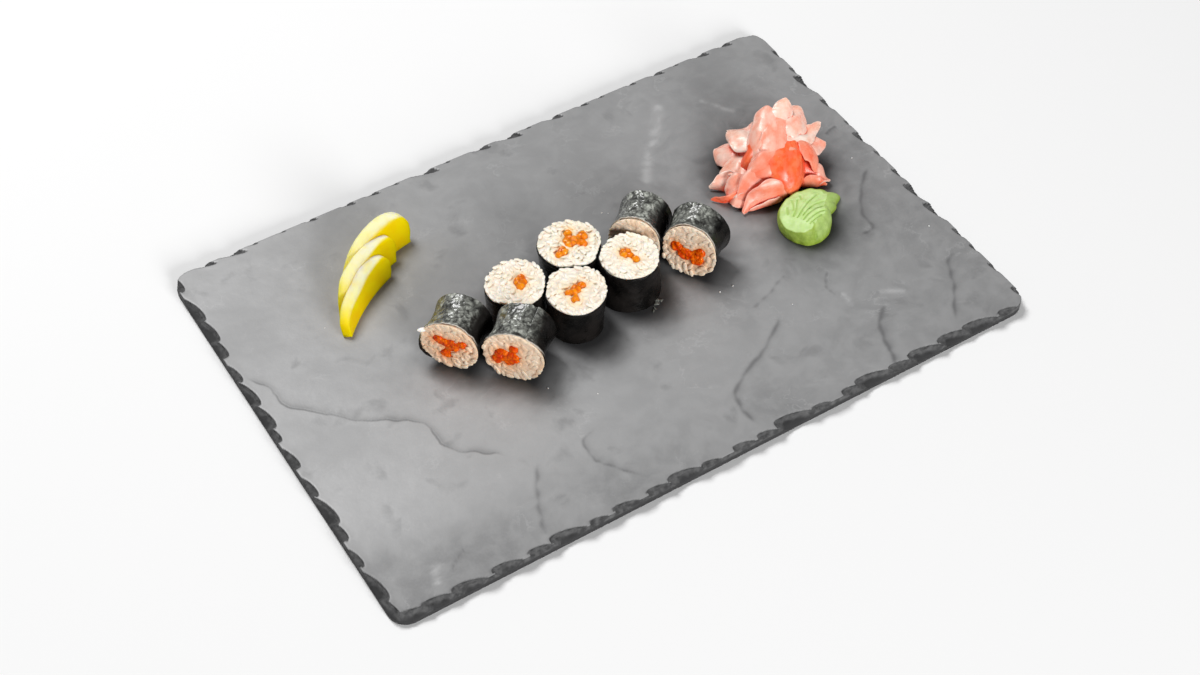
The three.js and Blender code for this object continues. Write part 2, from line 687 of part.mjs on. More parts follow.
function sliceGroup() {
  const group = new THREE.Group();
  slice.pieces.forEach((piece, order) => {
    const crest = new THREE.SplineCurve(piece.crest.map(([x, y]) => new THREE.Vector2(x, y)));
    const rings = Array.from({ length: slice.stations + 1 }, (__, i) => {
      const share = i / slice.stations;
      const top = crest.getPoint(share);
      return [
        slicePoint(order, share * slice.base, 0, 0),
        slicePoint(order, top.x, top.y, 0),
        slicePoint(order, top.x, top.y, slice.thickness),
        slicePoint(order, share * slice.base, 0, slice.thickness),
      ];
    });
    const mesh = new THREE.Mesh(skin(rings, false), material(0xf6cf12, 0.35));
    mesh.name = `pickle_slice_${order + 1}`;
    group.add(mesh);
  });
  group.position.set(slice.nose[0], slice.nose[1], board.thickness + restGap);
  return group;
}

// ---- the whole serving ---------------------------------------------------------------

const group = new THREE.Group();
const boardMesh = new THREE.Mesh(boardGeometry(), material(0x8b8b8b, 0.6));
boardMesh.name = 'board';
group.add(boardMesh);
rolls.forEach((roll) => group.add(rollGroup(roll)));
group.add(gingerMesh());
group.add(wasabiMesh());
group.add(sliceGroup());

export default group;
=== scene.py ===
# Thin maki rolls on a slate-look board, with pickled ginger, a wasabi leaf and yellow pickle.
# Shapes are worked out in millimetres and turned into metres when a piece is finished.

import math

import bmesh
import bpy
import numpy as np
from mathutils import Matrix, Vector, noise
from mathutils.bvhtree import BVHTree


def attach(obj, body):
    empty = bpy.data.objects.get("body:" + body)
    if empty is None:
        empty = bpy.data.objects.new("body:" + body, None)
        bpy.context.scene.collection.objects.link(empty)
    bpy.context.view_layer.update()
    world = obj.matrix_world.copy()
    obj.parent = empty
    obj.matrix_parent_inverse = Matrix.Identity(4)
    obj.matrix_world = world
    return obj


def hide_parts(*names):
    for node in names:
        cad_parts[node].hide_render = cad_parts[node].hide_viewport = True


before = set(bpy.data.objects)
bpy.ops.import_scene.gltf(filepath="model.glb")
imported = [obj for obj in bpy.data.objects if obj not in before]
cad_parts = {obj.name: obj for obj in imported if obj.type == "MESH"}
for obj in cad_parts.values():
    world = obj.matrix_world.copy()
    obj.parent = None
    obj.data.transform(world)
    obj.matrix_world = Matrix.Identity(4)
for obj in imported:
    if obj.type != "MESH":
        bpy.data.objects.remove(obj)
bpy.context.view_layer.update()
metre = 0.001  # one millimetre


def tell(text):
    print("[maki] " + text, flush=True)


camera = {
    "place": (-0.298943, -0.465952, 0.628338),
    "right": (0.846525, -0.532275, 0.008916),
    "up": (0.401438, 0.649263, 0.645991),
    "lens": 59.62,
}

studio = {
    "floorSize": 6.0,
    "floorColour": (0.905, 0.905, 0.905, 1),
    "sky": 0.125,  # light from all round
    # way round from +X and height over the floor in degrees, distance, size, power
    "key": (104, 56, 2.0, 0.8, 32.0),
    "fill": (272, 21, 2.2, 0.8, 40.5),
}


def makeCamera():
    right = Vector(camera["right"]).normalized()
    back = right.cross(Vector(camera["up"])).normalized()
    turned = Matrix((right, back.cross(right), back)).transposed().to_4x4()
    made = bpy.data.objects.new("camera", bpy.data.cameras.new("camera"))
    made.matrix_world = Matrix.Translation(camera["place"]) @ turned
    made.data.lens = camera["lens"]
    made.data.clip_start = 0.02
    made.data.clip_end = 20
    bpy.context.collection.objects.link(made)
    bpy.context.scene.camera = made


def makeLamp(name):
    turn, height, distance, size, power = studio[name]
    turn, height = math.radians(turn), math.radians(height)
    way = Vector((math.cos(turn) * math.cos(height), math.sin(turn) * math.cos(height), math.sin(height)))
    lamp = bpy.data.lights.new(name, "AREA")
    lamp.shape = "SQUARE"
    lamp.size = size
    lamp.energy = power
    made = bpy.data.objects.new(name, lamp)
    made.location = way * distance
    made.rotation_euler = way.to_track_quat("Z", "Y").to_euler()
    bpy.context.collection.objects.link(made)


def makeStudio():
    makeLamp("key")
    makeLamp("fill")
    world = bpy.data.worlds.new("studio")
    world.use_nodes = True
    world.node_tree.nodes["Background"].inputs["Color"].default_value = (1, 1, 1, 1)
    world.node_tree.nodes["Background"].inputs["Strength"].default_value = studio["sky"]
    bpy.context.scene.world = world
    bpy.context.scene.view_settings.view_transform = "Standard"
    shape = bmesh.new()
    bmesh.ops.create_grid(shape, x_segments=2, y_segments=2, size=studio["floorSize"] / 2)
    floor = bpy.data.objects.new("floor", meshFrom(shape, "floor"))
    bpy.context.collection.objects.link(floor)
    tree, shader = newFinish("floorPaper")
    fill(tree, shader, {"Base Color": studio["floorColour"], "Roughness": 0.9, "Specular IOR Level": 0.1})
    floor.data.materials.append(bpy.data.materials["floorPaper"])
    tell("studio: two lamps and a floor")


def newFinish(name):
    made = bpy.data.materials.new(name)
    made.use_nodes = True
    return made.node_tree, made.node_tree.nodes["Principled BSDF"]


# Sets a node's inputs. Values are numbers, colours or the outputs of other nodes.
def fill(tree, node, inputs):
    for key, value in inputs.items():
        if isinstance(value, bpy.types.NodeSocket):
            tree.links.new(value, node.inputs[key])
        else:
            node.inputs[key].default_value = value


# Puts a node in a tree.
def put(tree, kind, inputs=None, **settings):
    made = tree.nodes.new(kind)
    for key, value in settings.items():
        setattr(made, key, value)
    fill(tree, made, inputs or {})
    return made


def objectPlace(tree):
    return put(tree, "ShaderNodeTexCoord").outputs["Object"]


def kept(tree, name):
    return put(tree, "ShaderNodeAttribute", attribute_name=name).outputs["Fac"]


def spread(tree, value, low, high, toLow=0.0, toHigh=1.0):
    inputs = {"Value": value, "From Min": low, "From Max": high, "To Min": toLow, "To Max": toHigh}
    return put(tree, "ShaderNodeMapRange", inputs, interpolation_type="SMOOTHSTEP").outputs["Result"]


def sums(tree, operation, first, second):
    return put(tree, "ShaderNodeMath", {0: first, 1: second}, operation=operation).outputs[0]


def times(tree, first, second):
    return sums(tree, "MULTIPLY", first, second)


def blendColour(tree, share, first, second):
    return put(tree, "ShaderNodeMix", {0: share, 6: first, 7: second}, data_type="RGBA").outputs[2]


# Lays a tone over another where a mask is, at a share of the mask.
def lay(tree, under, mask, share, tone):
    return blendColour(tree, times(tree, mask, share), under, tone)


def newGroup(name, inputs, outputs):
    group = bpy.data.node_groups.new(name, "ShaderNodeTree")
    for title, kind, value in inputs:
        socket = group.interface.new_socket(title, in_out="INPUT", socket_type=kind)
        if value is not None:
            socket.default_value = value
    for title, kind in outputs:
        group.interface.new_socket(title, in_out="OUTPUT", socket_type=kind)
    return group, group.nodes.new("NodeGroupInput").outputs, group.nodes.new("NodeGroupOutput").inputs


# Soft patches of a given size in millimetres, from 0 to 1.
def makeMottle():
    group, given, out = newGroup(
        "mottle",
        [("Place", "NodeSocketVector", None), ("Patch", "NodeSocketFloat", 10.0),
         ("Detail", "NodeSocketFloat", 3.0), ("Low", "NodeSocketFloat", 0.35),
         ("High", "NodeSocketFloat", 0.65)],
        [("Mask", "NodeSocketFloat")],
    )
    scale = sums(group, "DIVIDE", 1000.0, given["Patch"])
    inputs = {"Vector": given["Place"], "Scale": scale, "Detail": given["Detail"]}
    cloud = put(group, "ShaderNodeTexNoise", inputs)
    group.links.new(spread(group, cloud.outputs["Fac"], given["Low"], given["High"]), out["Mask"])


# Height of a moist, uneven skin: broad dimples and fine ones.
def makeSkin():
    group, given, out = newGroup(
        "skin",
        [("Place", "NodeSocketVector", None), ("Dimple", "NodeSocketFloat", 1.5),
         ("Fine", "NodeSocketFloat", 0.4)],
        [("Height", "NodeSocketFloat")],
    )
    broad, fine = (
        put(group, "ShaderNodeTexNoise", {
            "Vector": given["Place"], "Scale": sums(group, "DIVIDE", 1000.0, given[size]), "Detail": 2.0})
        for size in ("Dimple", "Fine")
    )
    low = times(group, fine.outputs["Fac"], 0.35)
    group.links.new(sums(group, "ADD", broad.outputs["Fac"], low), out["Height"])


def mottle(tree, place, patch, detail, low, high):
    inputs = {"Place": place, "Patch": patch, "Detail": detail, "Low": low, "High": high}
    return put(tree, "ShaderNodeGroup", inputs, node_tree=bpy.data.node_groups["mottle"]).outputs["Mask"]


def skinHeight(tree, place, dimple, fine):
    inputs = {"Place": place, "Dimple": dimple, "Fine": fine}
    return put(tree, "ShaderNodeGroup", inputs, node_tree=bpy.data.node_groups["skin"]).outputs["Height"]


# Draws places out of true by a slow noise, so that patches wander.
def warped(tree, place, scale, detail, pull):
    wander = put(tree, "ShaderNodeTexNoise", {"Vector": place, "Scale": scale, "Detail": detail})
    pulled = put(tree, "ShaderNodeVectorMath", {0: wander.outputs["Color"], "Scale": pull}, operation="SCALE")
    return put(tree, "ShaderNodeVectorMath", {0: place, 1: pulled.outputs[0]}, operation="ADD").outputs[0]


def bumpUp(tree, shader, height, strength, distance):
    bump = put(tree, "ShaderNodeBump", {"Height": height, "Strength": strength, "Distance": distance * metre})
    tree.links.new(bump.outputs["Normal"], shader.inputs["Normal"])


# Chances between 0 and 1, the same at every run.
def seeded(seed):
    state = [seed & 0xFFFFFFFF]

    def draw():
        state[0] = (state[0] + 0x6D2B79F5) & 0xFFFFFFFF
        now = state[0]
        mixed = ((now ^ (now >> 15)) * (1 | now)) & 0xFFFFFFFF
        mixed = ((mixed + (mixed ^ (mixed >> 7)) * (61 | mixed)) & 0xFFFFFFFF) ^ mixed
        return (mixed ^ (mixed >> 14)) / 4294967296

    return draw


def meshFrom(shape, name):
    mesh = bpy.data.meshes.new(name)
    shape.to_mesh(mesh)
    shape.free()
    return mesh


def placesOf(mesh):
    flat = np.empty(len(mesh.vertices) * 3)
    mesh.vertices.foreach_get("co", flat)
    return flat.reshape(-1, 3)


def setPlaces(mesh, places):
    mesh.vertices.foreach_set("co", np.ascontiguousarray(places, dtype=np.float32).ravel())
    mesh.update()


def keep(mesh, name, values):
    made = mesh.attributes.new(name, "FLOAT", "POINT")
    made.data.foreach_set("value", np.ascontiguousarray(values, dtype=np.float32))


def keepEven(mesh, **values):
    for name, value in values.items():
        keep(mesh, name, np.full(len(mesh.vertices), value))


# Takes a kept value off a mesh.
def takeValues(mesh, name):
    values = np.empty(len(mesh.vertices), dtype=np.float32)
    mesh.attributes[name].data.foreach_get("value", values)
    mesh.attributes.remove(mesh.attributes[name])
    return values.astype(float)


# A finished piece, from a mesh in millimetres in the row frame.
def makePiece(name, mesh, finishName, nodes):
    mesh.transform(Matrix.Scale(metre, 4))
    for spare in ("ring", "turn"):
        if spare in mesh.attributes:
            mesh.attributes.remove(mesh.attributes[spare])
    mesh.materials.clear()
    mesh.materials.append(bpy.data.materials[finishName])
    mesh.shade_smooth()
    piece = bpy.data.objects.new(name, mesh)
    bpy.context.collection.objects.link(piece)
    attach(piece, "root")
    if nodes:
        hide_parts(*nodes)
    triangles = sum(len(face.vertices) - 2 for face in mesh.polygons)
    tell(f"{name}: {triangles} triangles")


def step(low, high, value):
    share = np.clip((value - low) / (high - low), 0, 1)
    return share * share * (3 - 2 * share)


def roughness(points, size, octaves=3, shift=0.0):
    moved = points / size + shift
    return np.array([noise.fractal(Vector(p), 1.0, 2.0, octaves) for p in moved.tolist()])


def ridges(points, size, octaves, shift):
    moved = points / size + shift
    return np.array([
        noise.ridged_multi_fractal(Vector(p), 1.0, 2.0, octaves, 1.0, 2.0) for p in moved.tolist()])


# A smooth line through points, sampled at even shares of its spans.
def smoothLine(points, count):
    points = np.array(points, float)
    ends = np.vstack([2 * points[0] - points[1], points, 2 * points[-1] - points[-2]])
    at = np.linspace(0, len(points) - 1, count)
    first = np.minimum(at.astype(int), len(points) - 2)
    t = (at - first)[:, None]
    a, b, c, d = (ends[first + i] for i in range(4))
    return 0.5 * (2 * b + (c - a) * t + (2 * a - 5 * b + 4 * c - d) * t**2 + (3 * b - a - 3 * c + d) * t**3)


# Runs modifiers on a mesh and gives the mesh that comes out.
def shaped(mesh, *steps):
    worker = bpy.data.objects.new("worker", mesh)
    bpy.context.collection.objects.link(worker)
    for kind, settings in steps:
        added = worker.modifiers.new(kind, kind)
        for key, value in settings.items():
            setattr(added, key, value)
    graph = bpy.context.evaluated_depsgraph_get()
    result = bpy.data.meshes.new_from_object(worker.evaluated_get(graph))
    bpy.data.objects.remove(worker)
    bpy.data.meshes.remove(mesh)
    return result


# Joins overlapping closed shapes into one skin.
def fused(mesh, voxel, rounds):
    return shaped(
        mesh,
        ("REMESH", {"mode": "VOXEL", "voxel_size": voxel}),
        ("SMOOTH", {"factor": 0.5, "iterations": rounds}),
    )


# Several meshes and their kept values as one.
def joined(parts, name):
    shape = bmesh.new()
    for part in parts:
        shape.from_mesh(part)
    return meshFrom(shape, name)


# A closed shape lofted through rings of points, from a bmesh circle. A looped one joins its
# last ring to its first, as round a tube. Each place keeps the ring and the turn it came from.
def loft(shape, rings, looped=False):
    count = len(rings[0])
    stored = shape.verts.layers.float
    ringLayer, turnLayer = (stored.get(name) or stored.new(name) for name in ("ring", "turn"))
    made = bmesh.ops.create_circle(shape, segments=count, radius=1)["verts"]
    border = list({edge for vertex in made for edge in vertex.link_edges})
    order = sorted(made, key=lambda vertex: math.atan2(vertex.co.y, vertex.co.x) % (2 * math.pi))
    firstBorder = border
    for number, ring in enumerate(rings):
        if number:
            grown = bmesh.ops.extrude_edge_only(shape, edges=border)["geom"]
            fresh = {part for part in grown if isinstance(part, bmesh.types.BMVert)}
            border = [part for part in grown if isinstance(part, bmesh.types.BMEdge)
                      and all(corner in fresh for corner in part.verts)]
            partner = {}
            for vertex in fresh:
                for edge in vertex.link_edges:
                    other = edge.other_vert(vertex)
                    if other not in fresh:
                        partner[other] = vertex
            order = [partner[vertex] for vertex in order]
        for turn, (vertex, spot) in enumerate(zip(order, ring)):
            vertex.co = spot
            vertex[ringLayer] = number
            vertex[turnLayer] = turn
    if looped:
        bmesh.ops.bridge_loops(shape, edges=firstBorder + border)
    else:
        bmesh.ops.holes_fill(shape, edges=firstBorder, sides=0)
        bmesh.ops.holes_fill(shape, edges=border, sides=0)


# A level ring of points round a place, whose radius may change with the angle.
def ringAt(x, y, radius, angle, height):
    level = np.full(len(angle), float(height))
    return np.column_stack([x + radius * np.cos(angle), y + radius * np.sin(angle), level])


def lofted(rings, name, looped=False):
    shape = bmesh.new()
    loft(shape, rings, looped)
    bmesh.ops.recalc_face_normals(shape, faces=shape.faces)
    return meshFrom(shape, name)


board = {
    "length": 300,
    "width": 200,
    "thickness": 5.5,
    "cornerRadius": 8,
    "cell": 0.95,  # size of the top's faces, and near the rim
    "rimCell": 0.46,
    "rimZone": 7.0,
    "topInset": 0.5,
    # rings down the side: how far in from the outline, and height
    "wall": [(0.28, 5.4), (0.07, 5.18), (0, 4.85), (0, 4.3), (0, 3.7), (0, 3.1), (0, 2.5), (0, 1.9),
             (0, 1.3), (0, 0.75), (0.12, 0.3), (0.5, 0)],
    "chipPitch": 13.4,
    "chipStray": 0.34,  # share of the pitch by which a hollow is out of line
    "chipLength": 8.2,
    "chipTurn": 17,
    "chipRise": 0.8,
    "anchor": (7.0, 1.0),  # the hollows are cut along lines from here, inset and height
    "relief": 0.17,
    "veinStep": 0.12,
    "veinWander": 0.9,
    "sidePits": 0.12,
    "knapRough": (0.6, 0.26),  # of the broken faces, broad and fine
}

# corner, way along, how far in and how far down the hollows reach, and how uneven they are
boardEdges = [
    ((-1, -1), (1, 0), 2.7, 2.7, 0.7),
    ((-1, -1), (0, 1), 2.7, 3.0, 0.5),
    ((1, 1), (-1, 0), 0.8, 1.5, 0.9),
    ((1, 1), (0, -1), 1.2, 1.9, 0.9),
]

# dark lines in the top face: strength, how soft, and the way they run
boardVeins = [
    (0.8, 0.5, [(-148.6, 36.9), (-143.3, 29.4), (-139.9, 23.6), (-139, 12.9), (-128.7, 2.9),
                (-116.3, -9.5), (-104.5, -16.8), (-96.9, -22.7), (-95.6, -29.3), (-95.1, -37.2),
                (-90.9, -43.3), (-84.8, -47.6), (-79.1, -51.8), (-73.4, -57.6)]),
    (0.6, 1.3, [(-67.2, -62), (-74.1, -72.4), (-78, -81), (-81.5, -89.4), (-83.3, -95.8)]),
    (0.5, 1.6, [(-111.8, -84), (-118, -87.3), (-121.1, -91.3)]),
    (0.6, 0.8, [(-39.1, -59.5), (-47.6, -64.9), (-48.5, -73.6), (-46.8, -77.5), (-43.5, -81.8),
                (-40.5, -86.3), (-32.8, -95.3)]),
    (0.8, 1.0, [(141.3, 0.2), (128.8, -11.1), (121.3, -22.4), (119.4, -31.5), (112, -33)]),
    (0.7, 1.1, [(141.1, -61.4), (134.4, -64.8), (130.3, -73.6), (124.2, -81.8), (114.8, -95.4)]),
    (0.5, 0.7, [(88.3, -41.5), (82.3, -48.6), (82.9, -55.3)]),
    (0.45, 1.0, [(71.9, -33.5), (60.3, -39), (47.4, -42.8)]),
    (1.0, 1.1, [(97.8, -68.1), (89.8, -76.1), (85.2, -85.3), (83, -94.3), (81.2, -97.9)]),
    (0.75, 1.2, [(58, -50), (43.8, -60.8), (27.2, -68.8), (18.2, -74.7), (15.9, -80), (14.4, -85.7),
                 (16, -95)]),
    (0.8, 0.7, [(144.5, 27.5), (135.9, 25.3)]),
]

# pale rubbed streaks
boardStreaks = [
    (0.8, 2.2, [(84.2, 82.4), (70.1, 65), (57.4, 51.2), (49.7, 41.4)]),
    (0.6, 1.2, [(99.2, -62.4), (109.5, -68.8)]),
    (0.35, 1.0, [(100.2, 74.2), (110.7, 58.4)]),
    (0.4, 1.2, [(84.6, -55.3), (86.2, -63.5)]),
    (0.4, 2.0, [(-123, -84), (-127, -88), (-129, -93)]),
]


# Nearest place on the board's outline, the way out there, and the distance in from it.
def outlineOf(x, y):
    innerX = board["length"] / 2 - board["cornerRadius"]
    innerY = board["width"] / 2 - board["cornerRadius"]
    dx = x - np.clip(x, -innerX, innerX)
    dy = y - np.clip(y, -innerY, innerY)
    far = np.hypot(dx, dy)
    inside = far < 1e-9
    nearX = inside & (innerX - np.abs(x) < innerY - np.abs(y))
    outX = np.where(inside, np.where(nearX, np.sign(x), 0), dx / np.where(inside, 1, far))
    outY = np.where(inside, np.where(nearX, 0, np.sign(y)), dy / np.where(inside, 1, far))
    deep = np.where(inside, np.minimum(innerX - np.abs(x), innerY - np.abs(y)) + board["cornerRadius"],
                    board["cornerRadius"] - far)
    return x + outX * deep, y + outY * deep, outX, outY, deep


def spacedLine(half):
    zone = board["rimZone"]
    edge = np.linspace(0, zone, round(zone / board["rimCell"]) + 1)
    middle = np.linspace(zone - half, half - zone, round(2 * (half - zone) / board["cell"]) + 1)
    return np.concatenate([edge - half, middle[1:-1], half - edge[::-1]])


def boardSlab():
    alongX = spacedLine(board["length"] / 2 - board["topInset"])
    alongY = spacedLine(board["width"] / 2 - board["topInset"])
    shape = bmesh.new()
    bmesh.ops.create_grid(shape, x_segments=len(alongX) - 1, y_segments=len(alongY) - 1, size=0.5)
    innerX = board["length"] / 2 - board["cornerRadius"]
    innerY = board["width"] / 2 - board["cornerRadius"]
    for vertex in shape.verts:
        x = alongX[round((vertex.co.x + 0.5) * (len(alongX) - 1))]
        y = alongY[round((vertex.co.y + 0.5) * (len(alongY) - 1))]
        overX, overY = abs(x) - innerX, abs(y) - innerY
        if overX > 0 and overY > 0:  # a square corner is drawn in to a round one
            share = max(overX, overY) / math.hypot(overX, overY)
            x = math.copysign(innerX + overX * share, x)
            y = math.copysign(innerY + overY * share, y)
        vertex.co = (x, y, board["thickness"])
    border = [edge for edge in shape.edges if edge.is_boundary]
    for inset, height in board["wall"]:
        made = bmesh.ops.extrude_edge_only(shape, edges=border)["geom"]
        border = [part for part in made if isinstance(part, bmesh.types.BMEdge) and part.is_boundary]
        for vertex in {corner for edge in border for corner in edge.verts}:
            x, y, outX, outY, _ = outlineOf(vertex.co.x, vertex.co.y)
            vertex.co = (x - outX * inset, y - outY * inset, height)
    bmesh.ops.holes_fill(shape, edges=border, sides=0)
    bmesh.ops.recalc_face_normals(shape, faces=shape.faces)
    return meshFrom(shape, "board")


# Centre, axes and half sizes of each knapped hollow.
def boardHollows():
    found = []
    draw = seeded(5)
    for corner, along, reach, drop, uneven in boardEdges:
        run = board["width"] if along[0] == 0 else board["length"]
        way = np.array([along[0], along[1], 0.0])
        inward = np.array([-corner[0] if along[0] == 0 else 0.0, -corner[1] if along[1] == 0 else 0.0, 0.0])
        turn = math.radians(board["chipTurn"])
        long = way * math.cos(turn) - inward * math.sin(turn)
        axes = np.array([long, [-long[1], long[0], 0], [0, 0, 1]])
        for i in range(int((run - board["chipPitch"] / 2) // board["chipPitch"]) + 1):
            place = (i + 0.55 + board["chipStray"] * (draw() - 0.5)) * board["chipPitch"]
            size = 1 + uneven * (draw() - 0.5)
            centre = np.array([corner[0] * board["length"] / 2, corner[1] * board["width"] / 2,
                               board["thickness"] + board["chipRise"]]) + way * place
            halves = np.array([board["chipLength"], reach, drop + board["chipRise"]]) * size
            found.append((centre, axes, halves))
    return found


def knapEdges(places):
    x, y, outX, outY, deep = outlineOf(places[:, 0], places[:, 1])
    near = np.where((deep < board["anchor"][0]) & (places[:, 2] > 0.6))[0]
    inset, height = board["anchor"]
    anchors = np.stack([x - outX * inset, y - outY * inset, np.full(len(x), height)], 1)[near]
    ways = places[near] - anchors
    first = np.ones(len(near))
    for centre, axes, halves in boardHollows():
        start = (anchors - centre) @ axes.T / halves
        run = ways @ axes.T / halves
        a = (run * run).sum(1)
        b = (start * run).sum(1)
        c = (start * start).sum(1) - 1
        under = b * b - a * c
        hit = np.where(under > 0, (-b - np.sqrt(np.maximum(under, 0))) / a, 2)
        first = np.where((hit > 0) & (hit < first), hit, first)
    long = np.linalg.norm(ways, axis=1)
    cut = (1 - first) * long  # how much is gone along the line
    spots = anchors + ways * first[:, None]
    broad, fine = board["knapRough"]
    rough = broad * roughness(spots, 2.6, 3, 7.1) + fine * roughness(spots * [1, 1, 2.5], 0.9, 2, 3.3)
    first = np.clip(first + rough * step(0.1, 1.3, cut) / long, 0.2, 1)
    out = places.copy()
    out[near] = anchors + ways * first[:, None]
    depth = np.zeros(len(places))
    depth[near] = cut
    return out, depth


# Signed distance to the nearest line, how near it is with its strength, and how soft it is.
def lineFields(places, lines):
    side = np.full(len(places), 9.0)
    near = np.zeros(len(places))
    soft = np.ones(len(places))
    for number, (strength, softness, line) in enumerate(lines):
        path = smoothLine(line, len(line) * 9)
        wander = roughness(np.column_stack([path, np.full(len(path), 9.0 * number)]), 5.0, 3)
        slope = np.gradient(path, axis=0)
        slope /= np.linalg.norm(slope, axis=1)[:, None]
        path = path + np.column_stack([-slope[:, 1], slope[:, 0]]) * wander[:, None] * board["veinWander"]
        low, high = path.min(0) - 9, path.max(0) + 9
        inside = np.where(((places[:, :2] > low) & (places[:, :2] < high)).all(1) & (places[:, 2] > 5))[0]
        spots = places[inside, :2]
        best = np.full(len(inside), 1e9)
        signed = np.zeros(len(inside))
        along = np.zeros(len(inside))
        for i in range(len(path) - 1):
            way = path[i + 1] - path[i]
            share = np.clip(((spots - path[i]) @ way) / (way @ way), 0, 1)
            gap = spots - path[i] - share[:, None] * way
            far = np.hypot(gap[:, 0], gap[:, 1])
            closer = far < best
            best = np.where(closer, far, best)
            signed = np.where(closer, far * np.sign(way[0] * gap[:, 1] - way[1] * gap[:, 0]), signed)
            along = np.where(closer, (i + share) / (len(path) - 1), along)
        patchy = 0.85 + 0.25 * np.sin(31 * along + 9 * number)
        closeness = np.exp(-best / 2.2) * strength * patchy * step(0, 0.1, along) * step(0, 0.12, 1 - along)
        better = closeness > near[inside]
        side[inside] = np.where(better, signed, side[inside])
        near[inside] = np.where(better, closeness, near[inside])
        soft[inside] = np.where(better, softness, soft[inside])
    return side, near, soft


def grey(value, blue=0.002):
    return (value, value, value + blue, 1)


# Tones of the board's glaze. A pair with a number is a layer, laid on at that share.
slate = {
    "clouds": ((0.205, 0.206, 0.208, 1), grey(0.295)),
    # broad changes across the top, partly painted sheen and shade
    "worn": (0.7, grey(0.43)),
    "corner": grey(0.19),
    "farEnd": grey(0.19),
    "farSide": grey(0.34),
    "broad": (0.3, grey(0.25)),
    "patch": (0.3, grey(0.38)),
    "wisp": (0.2, grey(0.55)),
    "smudge": (0.5, grey(0.17)),
    "speck": (0.16, grey(0.3)),
    "streak": (0.42, grey(0.56)),
    "veinShade": (0.48, grey(0.13)),
    "veinHair": (0.52, grey(0.085, 0.003)),
    "damp": (0.94, grey(0.026, 0.001)),
    "broken": (grey(0.028, 0.001), grey(0.115, 0.001)),
    "hollow": (0.45, grey(0.115, 0.001)),
    "under": grey(0.032, 0.001),
    "lip": (0.6, grey(0.04)),
}


def makeBoardFinish():
    tree, shader = newFinish("slateGlaze")
    place = objectPlace(tree)
    drawn = warped(tree, place, 30.0, 2.0, 0.022)
    broad = mottle(tree, drawn, 95.0, 2.0, 0.36, 0.64)
    cloud = mottle(tree, drawn, 26.0, 5.0, 0.34, 0.66)
    patch = mottle(tree, drawn, 8.0, 5.0, 0.36, 0.68)
    speck = mottle(tree, place, 1.1, 3.0, 0.3, 0.75)
    x, y = put(tree, "ShaderNodeSeparateXYZ", {0: place}).outputs[:2]
    tone = blendColour(tree, cloud, *slate["clouds"])
    # broad changes across the top: paler towards the front left, a painted sheen; darker at the far end,
    # painted shade; darker in the front-left corner and paler along the far side
    worn = spread(tree, sums(tree, "ADD", times(tree, x, 0.62), times(tree, y, 0.38)), -0.13, 0.115, 1.0, 0.0)
    worn = times(tree, worn, spread(tree, y, -0.092, -0.06, 0.0, 1.0))
    tone = lay(tree, tone, worn, *slate["worn"])
    nearCorner = sums(tree, "ADD", times(tree, x, 0.5), y)
    tone = blendColour(tree, spread(tree, nearCorner, -0.16, -0.11, 0.85, 0.0), tone, slate["corner"])
    tone = blendColour(tree, spread(tree, x, 0.08, 0.15, 0.0, 0.4), tone, slate["farEnd"])
    tone = blendColour(tree, spread(tree, y, 0.02, 0.08, 0.0, 0.38), tone, slate["farSide"])
    tone = lay(tree, tone, broad, *slate["broad"])
    tone = lay(tree, tone, patch, *slate["patch"])
    # thin rubbed wisps where a noise crosses its middle
    thread = put(tree, "ShaderNodeTexNoise", {
        "Vector": drawn, "Scale": 62.0, "Detail": 5.0, "Roughness": 0.62})
    middle = sums(tree, "ABSOLUTE", sums(tree, "SUBTRACT", thread.outputs["Fac"], 0.5), 0.0)
    wisp = times(tree, spread(tree, middle, 0.0, 0.022, 1.0, 0.0), mottle(tree, place, 17.0, 3.0, 0.5, 0.68))
    tone = lay(tree, tone, wisp, *slate["wisp"])
    tone = lay(tree, tone, mottle(tree, drawn, 13.0, 6.0, 0.57, 0.74), *slate["smudge"])
    tone = lay(tree, tone, speck, *slate["speck"])
    rubbed = times(tree, kept(tree, "streak"), spread(tree, patch, 0.0, 0.8, 0.35, 1.0))
    tone = lay(tree, tone, rubbed, *slate["streak"])
    # dark veins, crisper along one side, with a soft band of painted shade on the low side of the step beside
    # each
    side, near = kept(tree, "veinSide"), kept(tree, "veinNear")
    off = sums(tree, "DIVIDE", sums(tree, "ABSOLUTE", side, 0.0), kept(tree, "veinSoft"))
    hair = times(tree, spread(tree, off, 0.0, 1.7, 1.0, 0.0), spread(tree, near, 0.08, 0.8))
    shade = times(tree, spread(tree, side, -0.9, 0.6), spread(tree, near, 0.03, 0.7))
    tone = lay(tree, tone, shade, *slate["veinShade"])
    tone = lay(tree, tone, hair, *slate["veinHair"])
    # painted shadow round the food
    tone = lay(tree, tone, kept(tree, "damp"), *slate["damp"])
    # broken faces of the hollows and the side, darker than the top: partly their own colour, partly painted
    # shade; darker still low on the side wall and in a thin rim along the top edge of each hollow, both
    # painted shade
    cut = spread(tree, kept(tree, "cut"), 0.02, 0.5)
    broken = blendColour(tree, mottle(tree, place, 2.2, 4.0, 0.3, 0.72), *slate["broken"])
    broken = lay(tree, broken, spread(tree, kept(tree, "cut"), 0.6, 1.8), *slate["hollow"])
    broken = blendColour(tree, kept(tree, "under"), broken, slate["under"])
    tone = blendColour(tree, cut, tone, broken)
    tone = lay(tree, tone, kept(tree, "lip"), *slate["lip"])
    rough = sums(tree, "ADD", spread(tree, cloud, 0.0, 1.0, 0.5, 0.42), times(tree, cut, 0.4))
    fill(tree, shader, {"Base Color": tone, "Roughness": rough, "Specular IOR Level": 0.5})
    height = sums(tree, "SUBTRACT", times(tree, skinHeight(tree, place, 2.2, 0.5), 0.6), hair)
    bumpUp(tree, shader, height, 0.45, 0.16)


